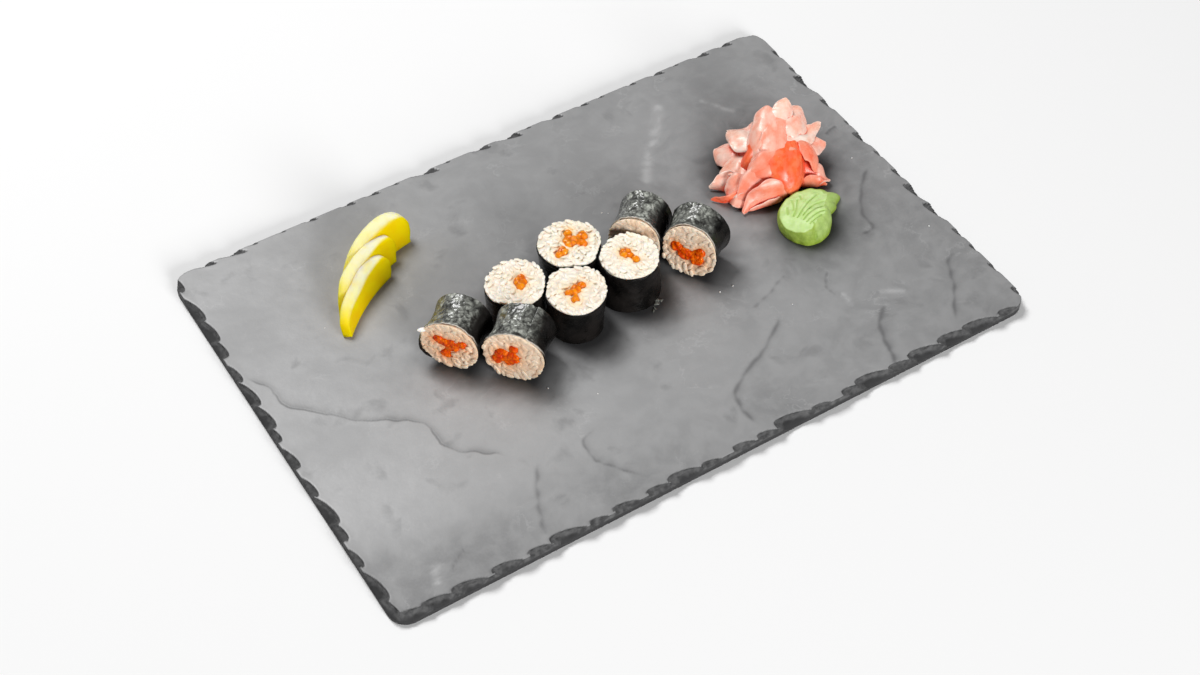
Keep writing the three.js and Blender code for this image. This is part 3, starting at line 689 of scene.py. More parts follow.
# Painted shadow on the board round the food on it, reaching a little further in front, where the shadows
# fall.
damp = {
    "shift": (1.2, -2.2, 0),
    "reach": 8.5,
    "fade": 1.3,
    "leaf": 12,  # radii of the wasabi and the ginger
    "heap": 23,
}


# How near each place is to the food, as the painted shadow's strength.
def dampness(places):
    places = places - damp["shift"]
    near = np.full(len(places), 99.0)
    for roll in rolls.values():
        start = np.array(roll["at"], float)
        if roll["stands"]:
            near = np.minimum(near, np.hypot(*(places[:, :2] - start).T) - roll["radii"][0])
            continue
        yaw = math.radians(roll["yaw"])
        way = np.array([math.cos(yaw), math.sin(yaw)])
        off = places[:, :2] - start
        along = off @ way
        aside = np.abs(off @ [-way[1], way[0]])
        past = np.maximum(np.maximum(-along, along - roll["length"]), 0)
        near = np.minimum(near, np.hypot(past, np.maximum(aside - 6, 0)))
    leaf = np.hypot(*(places[:, :2] - wasabi["at"]).T) - damp["leaf"]
    heap = np.hypot(*(places[:, :2] - ginger["at"]).T) - damp["heap"]
    near = np.maximum(np.minimum(np.minimum(near, leaf), heap), 0)
    uneven = 1 + 0.3 * roughness(places * [1, 1, 0], 7.0, 3)
    return np.exp(-((near / (damp["reach"] * uneven)) ** damp["fade"]))


def makeBoard():
    makeBoardFinish()
    mesh = boardSlab()
    places = placesOf(mesh)
    side, near, soft = lineFields(places, boardVeins)
    pale, paleNear, paleSoft = lineFields(places, boardStreaks)
    top = places[:, 2] > board["thickness"] - 0.01
    deep = outlineOf(places[:, 0], places[:, 1])[4]
    flat = places * [1, 1, 0]
    rise = board["relief"] * (roughness(flat, 34, 2) + 0.55 * roughness(flat * [0.8, 1.3, 1], 9, 3, 2.2))
    rise += board["veinStep"] * near * step(-1.3, 1.3, -side)
    rise = np.where(top, (rise - 0.12) * step(0.3, 5, deep), 0)
    # painted shadow round the food on the top
    keep(mesh, "damp", dampness(places) * top)
    places[:, 2] += rise
    sides = (places[:, 2] > 0.1) & (deep < 0.2)
    outward = np.stack([*outlineOf(places[:, 0], places[:, 1])[2:4], np.zeros(len(places))], 1)
    pits = board["sidePits"] * np.abs(roughness(places, 2.2, 3))
    places[sides] -= pits[sides, None] * outward[sides]
    places, cut = knapEdges(places)
    setPlaces(mesh, places)
    keep(mesh, "veinSide", np.clip(side, -6, 6))
    keep(mesh, "veinNear", near)
    keep(mesh, "veinSoft", soft)
    keep(mesh, "streak", np.exp(-((pale / paleSoft) ** 2)) * step(0.0, 0.2, paleNear))
    keep(mesh, "cut", np.maximum(cut, step(0.6, 0.2, deep) * step(5.45, 5.0, places[:, 2])))
    # painted shade: a thin dark rim along the top edge of each hollow
    keep(mesh, "lip", step(0.0, 0.05, cut) * step(0.75, 0.2, cut))
    # painted shade low on the side wall
    keep(mesh, "under", step(3.6, 2.4, places[:, 2]) * step(2.2, 0.6, deep))
    makePiece("boardSlab", mesh, "slateGlaze", ["board"])


nori = {
    "thickness": 0.42,
    "wave": 0.3,  # its cut edges rise and fall by this
    "lowered": 1.0,  # and the shown one stands this much lower than the rice
    "around": 200,  # faces round the roll and along it
    "along": 52,
    "overlap": 0.09,  # share of a turn
    "tuck": 0.55,
    "leansIn": 0.2,  # the cut edge, under the grains
    "fold": (0.035, 0.075),  # heights on tight seaweed, and what slack skin adds
    "crumple": (0.02, 0.16),
    "slack": (0.1, 0.08),
}

rice = {
    "shoulder": 0.5,  # the seaweed's wall ends this far below the roll's length
    "dome": 1.1,
    "inset": 1.15,
    "around": 96,  # points round a section
    "voxel": 0.22,
    "backVoxel": 0.36,
    "backInset": 2.3,  # the hidden end is packed narrower
    "tries": 24,  # places tried for each grain
    "most": 340,
}

grain = {
    "length": 3.6,
    "width": 1.85,
    "height": 1.65,
    "sunk": 0.28,
    "top": 0.3,  # no grain lies higher than this over the seaweed
    "bed": -1.8,
    "rim": 40,  # how many line the rim
    "cell": 0.28,  # of the height field that they fall on
    "field": 15.6,
}

restHeight = board["thickness"] + 0.05

# Radii are at the back or base, the waist and the shown end. Flats are pressed by a
# neighbour: way, distance at the base or back, distance at the shown end. Lobes are the
# bundles of roe, as x, y and radius. Smear is how far the knife has flattened the face, and
# towards which side. Peach is how far the rice is stained, and film is the slack skin
# on top with a painted sheen on it. A lip is seaweed that stands past the edge: way, spread in
# degrees, height.
rolls = {
    "maki_1": {"stands": True, "at": (-6.2, 13.1), "length": 20.3, "radii": (13.2, 12.9, 13.8), "oval": 0.005,
               "turn": 42, "seed": 11, "flats": [(-116, 12.7, 12.7), (-47, 12.6, 12.6)],
               "lobes": [(1, 1.2, 3.2), (2.5, 5.5, 2), (7, 1.2, 2.3), (5, -2.6, 1.9), (-4.5, -2, 2.2),
                         (-7, -3, 1.7)],
               "smear": 0.2, "peach": 0.04, "seam": 75, "film": 0.1},
    "maki_2": {"stands": True, "at": (-36.5, 6), "length": 20.2, "radii": (12.9, 12.7, 13.2), "oval": 0.04,
               "turn": 42, "seed": 23, "flats": [(-40, 12.3, 12.3), (222, 12, 12)],
               "lobes": [(2.2, -0.2, 2.8), (1.2, -2.4, 2), (3.6, 1.6, 1.9)],
               "smear": 0.3, "peach": 0.1, "seam": 100, "film": 0.1},
    "maki_3": {"stands": True, "at": (-17.4, -10.1), "length": 20.5, "radii": (11.9, 12.4, 13.3),
               "oval": 0.03, "turn": 55, "seed": 37, "flats": [(64, 12.6, 12.6), (140, 12.3, 12.3)],
               "lobes": [(0, 0.3, 2.2), (3.3, 1.1, 1.9), (-3.3, 0, 1.9), (-3, -4.4, 1.8)],
               "smear": 0.3, "peach": 0.1, "seam": 20, "film": 0.1},
    "maki_4": {"stands": True, "at": (11.2, -5.7), "length": 20.4, "radii": (13.8, 12.9, 12.9), "oval": 0.02,
               "turn": 50, "seed": 41, "flats": [(133, 12.6, 12.6), (40, 13.2, 13.2)],
               "lobes": [(-0.6, 2.2, 2.5), (1.2, -2.8, 1.8), (0.4, 0, 1.8)],
               "smear": 0.35, "peach": 0.05, "seam": 60, "film": 0.1},
    "maki_5": {"stands": False, "at": (-73.8, -4.2), "yaw": 39, "length": 17.8, "radii": (12.8, 11.5, 12.9),
               "oval": 0.01, "turn": 90, "seed": 53, "flats": [(-90, 12.4, 12.5), (0, 12.4, 12.75)],
               "lobes": [(1, 1, 3.4), (-4.4, 3, 2.4), (5.6, 2.8, 2.1), (-1.6, -4.6, 2.4), (-2, 2, 2.4)],
               "smear": 0.85, "smearWay": (-0.8, 0.6), "peach": 0.78, "seam": 215, "film": 1.0,
               "olive": 1.0, "lip": (202, 42, 2.7)},
    "maki_6": {"stands": False, "at": (-55, -22.9), "yaw": 42, "length": 19, "radii": (12.7, 11.7, 13.4),
               "oval": 0.01, "turn": 60, "seed": 67, "flats": [(-90, 12.4, 12.9), (180, 12.4, 13.2)],
               "lobes": [(-4.5, 0.2, 3.4), (-6.8, -3, 2.2), (0.3, 5, 2.1), (-0.2, -0.6, 3.0),
                         (-1.6, -3, 2.2)],
               "smear": 0.9, "smearWay": (0.95, -0.3), "peach": 0.68, "seam": 35, "film": 1.0},
    "maki_7": {"stands": False, "at": (20.9, 5.6), "yaw": 40, "length": 17.6, "radii": (12.2, 11.2, 12.2),
               "oval": 0.04, "turn": 90, "seed": 71, "flats": [(-90, 12.4, 12.4), (0, 11.9, 11.45)],
               "lobes": [(0, 0, 2.8), (2.6, 2, 2), (-2.6, -1, 1.9)],
               "smear": 0.9, "smearWay": (0, 1), "peach": 0.62, "seam": 230, "film": 1.0},
    "maki_8": {"stands": False, "at": (36.3, -12.2), "yaw": 36.5, "length": 15.2, "radii": (13.9, 12.2, 13),
               "oval": 0.04, "turn": 90, "slant": 6, "seed": 83,
               "flats": [(-90, 13.2, 12.7), (180, 12.3, 11.75)],
               "lobes": [(-1.5, -1.6, 3.2), (-5.6, 1.2, 2.6), (3.6, -3, 3.1), (5, 1.2, 2.2)],
               "smear": 0.8, "smearWay": (0.3, 0.9), "peach": 0.6, "seam": 225, "film": 0.9},
}


# Outer radius of the seaweed at an angle of the section and a share of the length.
def rollRadius(roll, angle, t):
    base, waist, shown = roll["radii"]
    radius = base + (shown - base) * t + (waist - (base + shown) / 2) * 4 * t * (1 - t)
    radius = radius * (1 + roll["oval"] * np.cos(2 * (angle - math.radians(roll["turn"]))))
    radius = radius + 0.16 * np.sin(3 * angle + roll["seed"] + 2 * t)
    radius = radius + 0.1 * np.sin(5 * angle - roll["seed"] + 5 * t)
    for toward, near, far in roll["flats"]:
        facing = np.cos(angle - math.radians(toward))
        reach = (near + (far - near) * t) / np.maximum(facing, 0.3)
        soft = np.clip(0.5 - np.abs(radius - reach), 0, None) ** 2 / 2
        radius = np.where(facing > 0.3, np.minimum(radius, reach) - soft, radius)
    return radius


def rollPlace(roll):
    x, y = roll["at"]
    if roll["stands"]:
        return Matrix.Translation((x, y, restHeight))
    yaw = math.radians(roll["yaw"])
    inward = Vector((math.cos(yaw), math.sin(yaw), 0))
    right = Vector((math.sin(yaw), -math.cos(yaw), 0))
    turned = Matrix((right, Vector((0, 0, 1)), -inward)).transposed().to_4x4()
    rest = max(roll["flats"][0][1:])
    return Matrix.Translation(Vector((x, y, restHeight + rest)) + inward * roll["length"]) @ turned


# Tips a lying roll's shown face back and puts the roll in its place.
def settleRoll(roll, mesh):
    places = placesOf(mesh)
    lost = math.tan(math.radians(roll.get("slant", 0))) / roll["length"]
    places[:, 2] *= 1 - lost * places[:, 1]
    setPlaces(mesh, places)
    mesh.transform(rollPlace(roll))


# The filling's core reaches from its centre to the far side of its outermost lobe.
def coreCentre(roll):
    return 0.6 * np.array(roll["lobes"])[:, :2].mean(0)


def coreReach(roll, angle):
    centre = coreCentre(roll)
    reach = np.full(np.shape(angle), 1.4)
    for x, y, radius in roll["lobes"]:
        along = (x - centre[0]) * np.cos(angle) + (y - centre[1]) * np.sin(angle)
        aside = -(x - centre[0]) * np.sin(angle) + (y - centre[1]) * np.cos(angle)
        half = np.sqrt(np.maximum(radius**2 - aside**2, 0))
        reach = np.where(np.abs(aside) < radius, np.maximum(reach, along + half), reach)
    return reach


def sectionRing(roll, t, inset, height):
    angle = np.arange(rice["around"]) * 2 * math.pi / rice["around"]
    return ringAt(0.0, 0.0, rollRadius(roll, angle, t) - inset, angle, height)


def coreRing(roll, grow, height):
    angle = np.arange(rice["around"]) * 2 * math.pi / rice["around"]
    return ringAt(*coreCentre(roll), coreReach(roll, angle) + grow, angle, height)


def wallHeight(roll, t):
    return t * (roll["length"] - rice["shoulder"])


def makeNori(name, roll):
    shape = bmesh.new()
    bmesh.ops.create_grid(shape, x_segments=nori["around"], y_segments=nori["along"], size=0.5)
    mesh = meshFrom(shape, name)
    share = placesOf(mesh) + 0.5
    lap = 2 * math.pi * nori["overlap"]
    swept = share[:, 0] * (2 * math.pi + lap)
    angle = math.radians(roll["seam"]) + swept
    t = share[:, 1]
    radius = rollRadius(roll, angle, t) - nori["tuck"] * step(lap + 0.3, lap, swept)
    lying = 0 if roll["stands"] else 1
    end = step(0.8, 1, t)
    start = step(0.2, 0, t) * lying
    ring = np.column_stack([np.cos(angle) * 4, np.sin(angle) * 4, np.full(len(t), float(roll["seed"]))])
    ragged = 0.4 * roughness(ring, 1.3, 4)
    height = wallHeight(roll, t) + (end + start) * nori["wave"] * np.sin(2 * angle + roll["seed"])
    height += end * (ragged - nori["lowered"])
    toward, width, past = roll.get("lip", (0, 1, 0))
    off = np.angle(np.exp(1j * (angle - math.radians(toward))))
    height += end * past * np.exp(-((off / math.radians(width)) ** 2))
    around = np.column_stack([12 * np.cos(angle), 12 * np.sin(angle), height])
    topSide = step(0.38, 0.95, np.cos(angle - 1.87)) * lying
    # slack skin: broad folds, and a fine crumple between them
    fold = ridges(around * [1, 1, 0.8], 3.0, 4, roll["seed"])
    fold = (fold - fold.mean()) / fold.std()
    crumple = np.abs(roughness(around, 1.9, 3, roll["seed"] + 7.0)) * 2.4 - 0.6
    slack = roughness(around, 6.5, 2, roll["seed"] + 4.0)
    loose = topSide * roll["film"]
    high = {part: nori[part][0] + nori[part][1] * loose for part in ("fold", "crumple")}
    radius += np.clip(high["fold"] * fold + high["crumple"] * crumple, -0.12, 0.34)
    radius += (nori["slack"][0] + nori["slack"][1] * topSide) * slack
    radius -= nori["leansIn"] * step(0.95, 1.0, t)
    setPlaces(mesh, np.column_stack([radius * np.cos(angle), radius * np.sin(angle), height]))
    # pale skin with a painted sheen on the top side of lying rolls; its creases get painted shade in the
    # finish
    keep(mesh, "film", np.clip(loose * (1.0 + 0.6 * slack + 0.1 * fold), 0, 1))
    keep(mesh, "crease", np.clip(0.5 - 0.5 * crumple - 0.12 * fold, 0, 1))
    # painted highlight: a pale line along the top of the shown end's rim
    keep(mesh, "edge", step(0.975, 0.99, t) * step(0.2, 0.7, np.sin(angle)) * lying)
    # painted light: an olive glow where the thin seaweed is lit through from behind
    thin = step(-0.2, -0.9, np.cos(angle - 0.35)) * step(-0.1, 0.4, np.sin(angle))
    keep(mesh, "olive", thin * roll.get("olive", 0))
    mesh = shaped(mesh, ("SOLIDIFY", {"thickness": nori["thickness"], "offset": -1.0}))
    settleRoll(roll, mesh)
    makePiece(name + "_seaweed", mesh, "moistNori", [name + "_nori"])


# Lets grains fall one by one on the lowest place there is, across one end of a roll.
def packGrains(roll, end):
    draw = seeded(roll["seed"] * 7 + end)
    cell, field, narrower = grain["cell"], grain["field"], 0 if end else rice["backInset"]
    line = np.arange(-field, field + cell, cell)
    gridX, gridY = np.meshgrid(line, line)
    outer = rollRadius(roll, np.arctan2(gridY, gridX), float(end)) - narrower
    over = np.hypot(gridX, gridY) - outer
    floor = np.full(gridX.shape, grain["bed"])
    floor[over > -0.8] = -1.1
    floor[over > 0.15] = 9
    for x, y, radius in roll["lobes"]:
        floor[np.hypot(gridX - x, gridY - y) < radius - 0.35] = 9
    window = int(grain["length"] * 0.62 / cell)
    found = []
    for turn in range(rice["most"]):
        best = None
        rim = turn < grain["rim"]  # the first grains line the rim
        for _ in range(3 if rim else rice["tries"]):
            angle, far = 2 * math.pi * draw(), math.sqrt(draw())
            heading = math.pi * draw()
            size = 0.8 + 0.35 * draw()
            tilt = 0.5 * (draw() - 0.5)
            if rim:
                angle = 2 * math.pi * (turn + 0.7 * draw()) / grain["rim"]
                aside = 1.57 - 1.5 * draw() ** 2.5
                heading, tilt = angle + aside, 0.2 * (draw() - 0.5)
            limit = float(rollRadius(roll, np.array(angle), float(end))) - narrower
            if rim:
                inset = math.hypot(grain["length"] * math.cos(aside), grain["width"] * math.sin(aside)) / 2
                far = 1 - (size * inset + 0.25 * draw()) / limit
            x, y = far * limit * math.cos(angle), far * limit * math.sin(angle)
            column, row = round((x + field) / cell), round((y + field) / cell)
            rows = slice(max(row - window, 0), row + window + 1)
            columns = slice(max(column - window, 0), column + window + 1)
            dx, dy = gridX[rows, columns] - x, gridY[rows, columns] - y
            long = dx * math.cos(heading) + dy * math.sin(heading)
            wide = dy * math.cos(heading) - dx * math.sin(heading)
            inside = 1 - (2 * long / (grain["length"] * size)) ** 2
            inside = inside - (2 * wide / (grain["width"] * size)) ** 2
            under = (inside > 0) & (floor[rows, columns] < (8 if rim else 99))
            half = 0.5 * grain["height"] * size * np.sqrt(inside[under])
            ramp = long[under] * math.tan(tilt)
            z = float((floor[rows, columns][under] + half - ramp).max())
            if best is None or z < best[2]:
                best = (x, y, z, heading, tilt, size, rows, columns, under, ramp + half)
        x, y, z, heading, tilt, size, rows, columns, under, above = best
        z -= grain["sunk"]
        if z > grain["top"] + 0.2 * draw():
            if rim:
                continue
            break
        patch = floor[rows, columns]
        patch[under] = np.maximum(patch[under], z + above)
        found.append((x, y, z, heading, tilt, size, draw()))
    return found


# The bed of grains at one end, fused into one skin.
def grainBed(roll, end, grains, smear):
    shape = bmesh.new()
    for x, y, z, heading, tilt, size, _ in grains:
        place = Matrix.Translation((x, y, z)) @ Matrix.Rotation(heading, 4, "Z")
        place = place @ Matrix.Rotation(-tilt, 4, "Y")
        halves = [grain[way] * size / 2 for way in ("height", "width", "length")]
        spun = Matrix.Rotation(math.pi / 2, 4, "Y") @ Matrix.Diagonal((*halves, 1))
        bmesh.ops.create_uvsphere(shape, u_segments=10, v_segments=7, radius=1, matrix=place @ spun)
    deep, t, edge = grain["bed"] - 1.4, float(end), rice["inset"]
    steps = ((edge, deep), (edge, -1.9), (0.35, -1.35), (0.6, -0.95))
    rings = [sectionRing(roll, t, inset, height) for inset, height in steps]
    loft(shape, rings + [coreRing(roll, 0, -1.1), coreRing(roll, 0, deep)], True)
    bmesh.ops.recalc_face_normals(shape, faces=shape.faces)
    return fused(meshFrom(shape, "cap"), rice["voxel"] if end else rice["backVoxel"], 1 + round(1.5 * smear))


# Which grain each place belongs to, and how much farther the next one is.
def grainOwners(places, grains):
    axes = []
    for x, y, z, heading, tilt, size, _ in grains:
        way = np.array([math.cos(heading), math.sin(heading), 0]) * math.cos(tilt) + [0, 0, math.sin(tilt)]
        axes.append([np.array([x, y, z]) + way * share * grain["length"] * size for share in (-0.3, 0, 0.3)])
    axes = np.array(axes).reshape(-1, 3)
    gap = (places**2).sum(1)[:, None] + (axes**2).sum(1)[None] - 2 * places @ axes.T
    gap = np.sqrt(np.maximum(gap, 0)).reshape(len(places), -1, 3).min(2)
    two = np.partition(gap, 1, axis=1)[:, :2]
    return gap.argmin(1), two[:, 1] - two[:, 0]


# One end's grains, pressed by the knife where it is smeared, and told apart by tone.
def riceCap(roll, end):
    grains = packGrains(roll, end)
    smear = roll["smear"] if end else 0.3
    mesh = grainBed(roll, end, grains, smear)
    places = placesOf(mesh)
    owner, farther = grainOwners(places, grains)
    tone = np.array([part[6] for part in grains])[owner]
    # painted shade in the creases between grains and low down among them
    crease = step(0.45, 0.0, farther) * step(-1.5, -0.4, places[:, 2])
    low = step(0.1, -0.9, places[:, 2])
    lobes = np.array(roll["lobes"])
    near = (np.hypot(places[:, :1] - lobes[:, 0], places[:, 1:2] - lobes[:, 1]) - lobes[:, 2]).min(1)
    toward = roll.get("smearWay", (0.0, 0.0))
    local = step(-7, 5, places[:, 0] * toward[0] + places[:, 1] * toward[1])
    local = smear * np.clip(0.45 + 0.65 * local + 0.25 * roughness(places, 4.0, 2, roll["seed"]), 0, 1)
    mean = 0.45
    flatter = mean + (places[:, 2] - mean) * (1 - 0.75 * local)
    filled = mean + (places[:, 2] - mean) * (0.7 - 0.55 * local)
    level = np.where(places[:, 2] > mean, flatter, filled)
    places[:, 2] += (level - places[:, 2]) * step(-2.3, -0.9, places[:, 2])
    # kept under the seaweed, but for what shows past its edge
    angle = np.arctan2(places[:, 1], places[:, 0])
    back = places[:, 2] / roll["length"]
    inner = rollRadius(roll, angle, np.clip(1 + back if end else -back, 0, 1)) - nori["thickness"] - 0.3
    inner += 2 * (step(-1.7, -0.9, places[:, 2]) if end else step(-0.4, 0.4, places[:, 2]))
    places[:, :2] *= np.minimum(1, inner / np.maximum(np.hypot(places[:, 0], places[:, 1]), 0.1))[:, None]
    if end:
        places[:, 2] += wallHeight(roll, 1)
    else:
        places *= [1, 1, -1]
        mesh.flip_normals()
    setPlaces(mesh, places)
    keep(mesh, "tone", tone)
    keep(mesh, "crease", np.clip(crease + low, 0, 1) * (1 - 0.75 * local))
    keep(mesh, "stain", np.exp(-np.maximum(near, 0) / (1.5 + 1.1 * roll["peach"])))
    keep(mesh, "peach", roll["peach"] * np.clip(0.8 + 0.35 * local / max(smear, 0.01), 0, 1.1))
    return mesh


# The plain body behind the beds of grains, with the hole for the filling.
def riceBody(roll):
    low = 0.0 if roll["stands"] else -(grain["bed"] - 0.7)
    high = wallHeight(roll, 1) + grain["bed"] - 0.7
    wall = roll["length"] - rice["shoulder"]
    rings = [sectionRing(roll, z / wall, rice["inset"], z) for z in np.linspace(low, high, 6)]
    mesh = lofted(rings + [coreRing(roll, 0.02, high), coreRing(roll, 0.02, low)], "body", True)
    keepEven(mesh, tone=0.5, crease=0.2, stain=0.0, peach=roll["peach"])
    return mesh


def makeRice(name, roll):
    parts = [riceCap(roll, 1), riceBody(roll)]
    if not roll["stands"]:
        parts.append(riceCap(roll, 0))
    mesh = joined(parts, name)
    settleRoll(roll, mesh)
    makePiece(name + "_grains", mesh, "cookedRice", [name + "_rice"])


# Beads of roe heaped over a core of the same, which runs through the roll. On a smeared face
# they are pressed into one torn patch.
def makeRoe(name, roll):
    draw = seeded(roll["seed"] + 900)
    edge = wallHeight(roll, 1)
    smear = 0 if roll["stands"] else 1
    top = edge + (0.95 if smear else rice["dome"] + 0.35)
    shape = bmesh.new()
    low = 0.0 if roll["stands"] else -0.6
    loft(shape, [coreRing(roll, -0.05, z) for z in np.linspace(low, edge + (0.1 if smear else -0.5), 5)])
    beads = []
    for x, y, radius in roll["lobes"]:
        many = 1 if radius < 2.15 else (3 if radius < 2.7 else 5)
        for i in range(many):
            angle = 2 * math.pi * (i + 0.4 * draw()) / many + roll["seed"]
            off = 0 if many == 1 else radius - 1.5
            size = min(radius * 0.95, 1.5 + 0.3 * draw())
            z = top - size * (1 - 0.45 * smear) - 0.55 * draw() * (1 - 0.6 * smear)
            beads.append((x + off * math.cos(angle), y + off * math.sin(angle), z, size, draw()))
    for x, y, z, size, _ in beads:
        place = Matrix.Translation((x, y, z)) @ Matrix.Diagonal((1, 1, 1 - 0.45 * smear, 1))
        bmesh.ops.create_icosphere(shape, subdivisions=3, radius=size, matrix=place)
        # a short neck ties the bead to the core
        turn = np.arange(16) * math.pi / 8
        loft(shape, [ringAt(x, y, 0.8 * size, turn, height) for height in (edge - 1.4, z)])
    bmesh.ops.recalc_face_normals(shape, faces=shape.faces)
    mesh = fused(meshFrom(shape, "roe"), 0.25, 1 + smear)
    places = placesOf(mesh)
    centres = np.array([bead[:3] for bead in beads])
    sizes = np.array([bead[3] for bead in beads])
    gap = np.sqrt(((places[:, None] - centres[None]) ** 2).sum(2)) - sizes
    two = np.partition(gap, 1, axis=1)[:, :2]
    above = step(edge - 0.6, edge + 0.2, places[:, 2])
    lumps = 0.1 * roughness(places, 1.1, 2, 5.0) + 0.4 * smear * roughness(places, 1.7, 3, 9.0)
    places[:, 2] += lumps * above
    setPlaces(mesh, places)
    keep(mesh, "tone", np.array([bead[4] for bead in beads])[gap.argmin(1)])
    # painted shade in the creases between beads
    keep(mesh, "crease", step(0.55, 0, two[:, 1] - two[:, 0]) * above)
    keep(mesh, "deep", np.full(len(places), float(smear)))
    settleRoll(roll, mesh)
    makePiece(name + "_roe", mesh, "wetRoe", [name + "_filling"])


# Tones of the rolls. Pairs are dark and light or clean and stained. One with a number is a
# layer, laid on at that share.
rollTones = {
    "leaf": ((0.0020, 0.0019, 0.0018, 1), (0.0125, 0.0105, 0.0095, 1)),
    "weave": (0.25, (0.016, 0.0135, 0.012, 1)),
    "film": (0.56, 0.58, 0.52, 1),
    "olive": (0.85, (0.12, 0.10, 0.010, 1)),
    "rimHighlight": (0.8, (0.72, 0.66, 0.58, 1)),
    "whiteGrain": ((0.96, 0.88, 0.75, 1), (0.985, 0.94, 0.86, 1)),
    "tannedGrain": ((0.80, 0.47, 0.26, 1), (0.96, 0.72, 0.50, 1)),
    "tannedLight": (0.5, (0.98, 0.86, 0.68, 1)),
    "grainGap": ((0.86, 0.74, 0.58, 1), (0.74, 0.42, 0.25, 1)),
    "soaked": ((0.93, 0.70, 0.36, 1), (0.86, 0.30, 0.10, 1)),
    "bead": ((0.86, 0.21, 0.002, 1), (0.95, 0.33, 0.008, 1)),
    "tornRoe": ((0.70, 0.045, 0.0005, 1), (1.0, 0.19, 0.001, 1)),
    "beadGap": (0.6, (0.50, 0.035, 0.0005, 1)),
}


def makeNoriFinish():
    tree, shader = newFinish("moistNori")
    place = objectPlace(tree)
    crease, film = kept(tree, "crease"), kept(tree, "film")
    fibre = put(tree, "ShaderNodeMapping", {
        "Vector": place, "Rotation": (0.4, 0.7, 0.3), "Scale": (1, 0.4, 1.8)}).outputs[0]
    blotch = mottle(tree, place, 7.0, 4.0, 0.36, 0.66)
    tone = blendColour(tree, blotch, *rollTones["leaf"])
    tone = lay(tree, tone, mottle(tree, fibre, 0.9, 4.0, 0.3, 0.7), *rollTones["weave"])
    # pale slack skin with a painted sheen, darker along its creases as painted shade
    drawn = warped(tree, place, 350.0, 3.0, 0.0034)
    cells = put(tree, "ShaderNodeTexVoronoi", {"Vector": drawn, "Scale": 300.0}, feature="DISTANCE_TO_EDGE")
    flake = spread(tree, cells.outputs["Distance"], 0.0, 0.16)
    vary = mottle(tree, drawn, 2.6, 3.0, 0.35, 0.66)
    lit = times(tree, spread(tree, crease, 0.95, 0.3, 0.15, 1.0), spread(tree, flake, 0, 1, 0.5, 1.0))
    lit = times(tree, lit, spread(tree, vary, 0.0, 1.0, 0.45, 1.0))
    lit = times(tree, lit, spread(tree, blotch, 0.0, 0.8, 0.45, 1.0))
    tone = lay(tree, tone, film, lit, rollTones["film"])
    # painted light: olive glow of the thin seaweed lit from behind
    tone = lay(tree, tone, kept(tree, "olive"), *rollTones["olive"])
    # painted highlight along the shown end's top rim
    tone = lay(tree, tone, kept(tree, "edge"), *rollTones["rimHighlight"])
    fill(tree, shader, {
        "Base Color": tone,
        "Roughness": spread(tree, sums(tree, "ADD", crease, blotch), 0.4, 1.6, 0.24, 0.38),
        "Coat Weight": spread(tree, film, 0.0, 0.8, 0.05, 1.0),
        "Coat Roughness": 0.2,
        "Specular IOR Level": 0.12,
    })
    height = sums(tree, "ADD", skinHeight(tree, fibre, 1.3, 0.35), times(tree, flake, film))
    bumpUp(tree, shader, sums(tree, "ADD", height, times(tree, vary, film)), 0.6, 0.2)


def makeRiceFinish():
    tree, shader = newFinish("cookedRice")
    place = objectPlace(tree)
    tone, crease, peach = kept(tree, "tone"), kept(tree, "crease"), kept(tree, "peach")
    cloud = mottle(tree, place, 4.0, 3.0, 0.35, 0.68)
    white = blendColour(tree, tone, *rollTones["whiteGrain"])
    tanned = blendColour(tree, cloud, *rollTones["tannedGrain"])
    tanned = lay(tree, tanned, tone, *rollTones["tannedLight"])
    colour = blendColour(tree, peach, white, tanned)
    # painted shade in the creases between grains
    deepened = spread(tree, peach, 0.0, 1.0, 0.34, 0.42)
    colour = lay(tree, colour, crease, deepened, blendColour(tree, peach, *rollTones["grainGap"]))
    soaked = spread(tree, cloud, 0.0, 0.9, 0.45, 1.0)
    colour = lay(tree, colour, kept(tree, "stain"), soaked, blendColour(tree, peach, *rollTones["soaked"]))
    fill(tree, shader, {
        "Base Color": colour,
        "Roughness": spread(tree, cloud, 0, 1, 0.32, 0.46),
        "Specular IOR Level": 0.4,
        "Subsurface Weight": 0.35,
        "Subsurface Radius": (1.0, 0.75, 0.55),
        "Subsurface Scale": 1.2 * metre,
    })
    bumpUp(tree, shader, skinHeight(tree, place, 0.9, 0.3), 0.25, 0.1)


def makeRoeFinish():
    tree, shader = newFinish("wetRoe")
    place = objectPlace(tree)
    tone, deep = kept(tree, "tone"), kept(tree, "deep")
    cloud = mottle(tree, place, 2.4, 3.0, 0.35, 0.7)
    bright = blendColour(tree, tone, *rollTones["bead"])
    colour = blendColour(tree, deep, bright, blendColour(tree, cloud, *rollTones["tornRoe"]))
    # painted shade in the creases between beads
    fill(tree, shader, {
        "Base Color": lay(tree, colour, kept(tree, "crease"), *rollTones["beadGap"]),
        "Roughness": 0.2,
        "Specular IOR Level": 0.12,
        "Coat Weight": spread(tree, deep, 0, 1, 0.5, 0.12),
        "Coat Roughness": 0.05,
        "Subsurface Weight": 0.45,
        "Subsurface Radius": (1.0, 0.3, 0.02),
        "Subsurface Scale": 1.5 * metre,
    })
    bumpUp(tree, shader, skinHeight(tree, place, 1.2, 0.4), 0.25, 0.1)


def makeRolls():
    makeNoriFinish()
    makeRiceFinish()
    makeRoeFinish()
    for name, roll in rolls.items():
        makeNori(name, roll)
        makeRice(name, roll)
        makeRoe(name, roll)


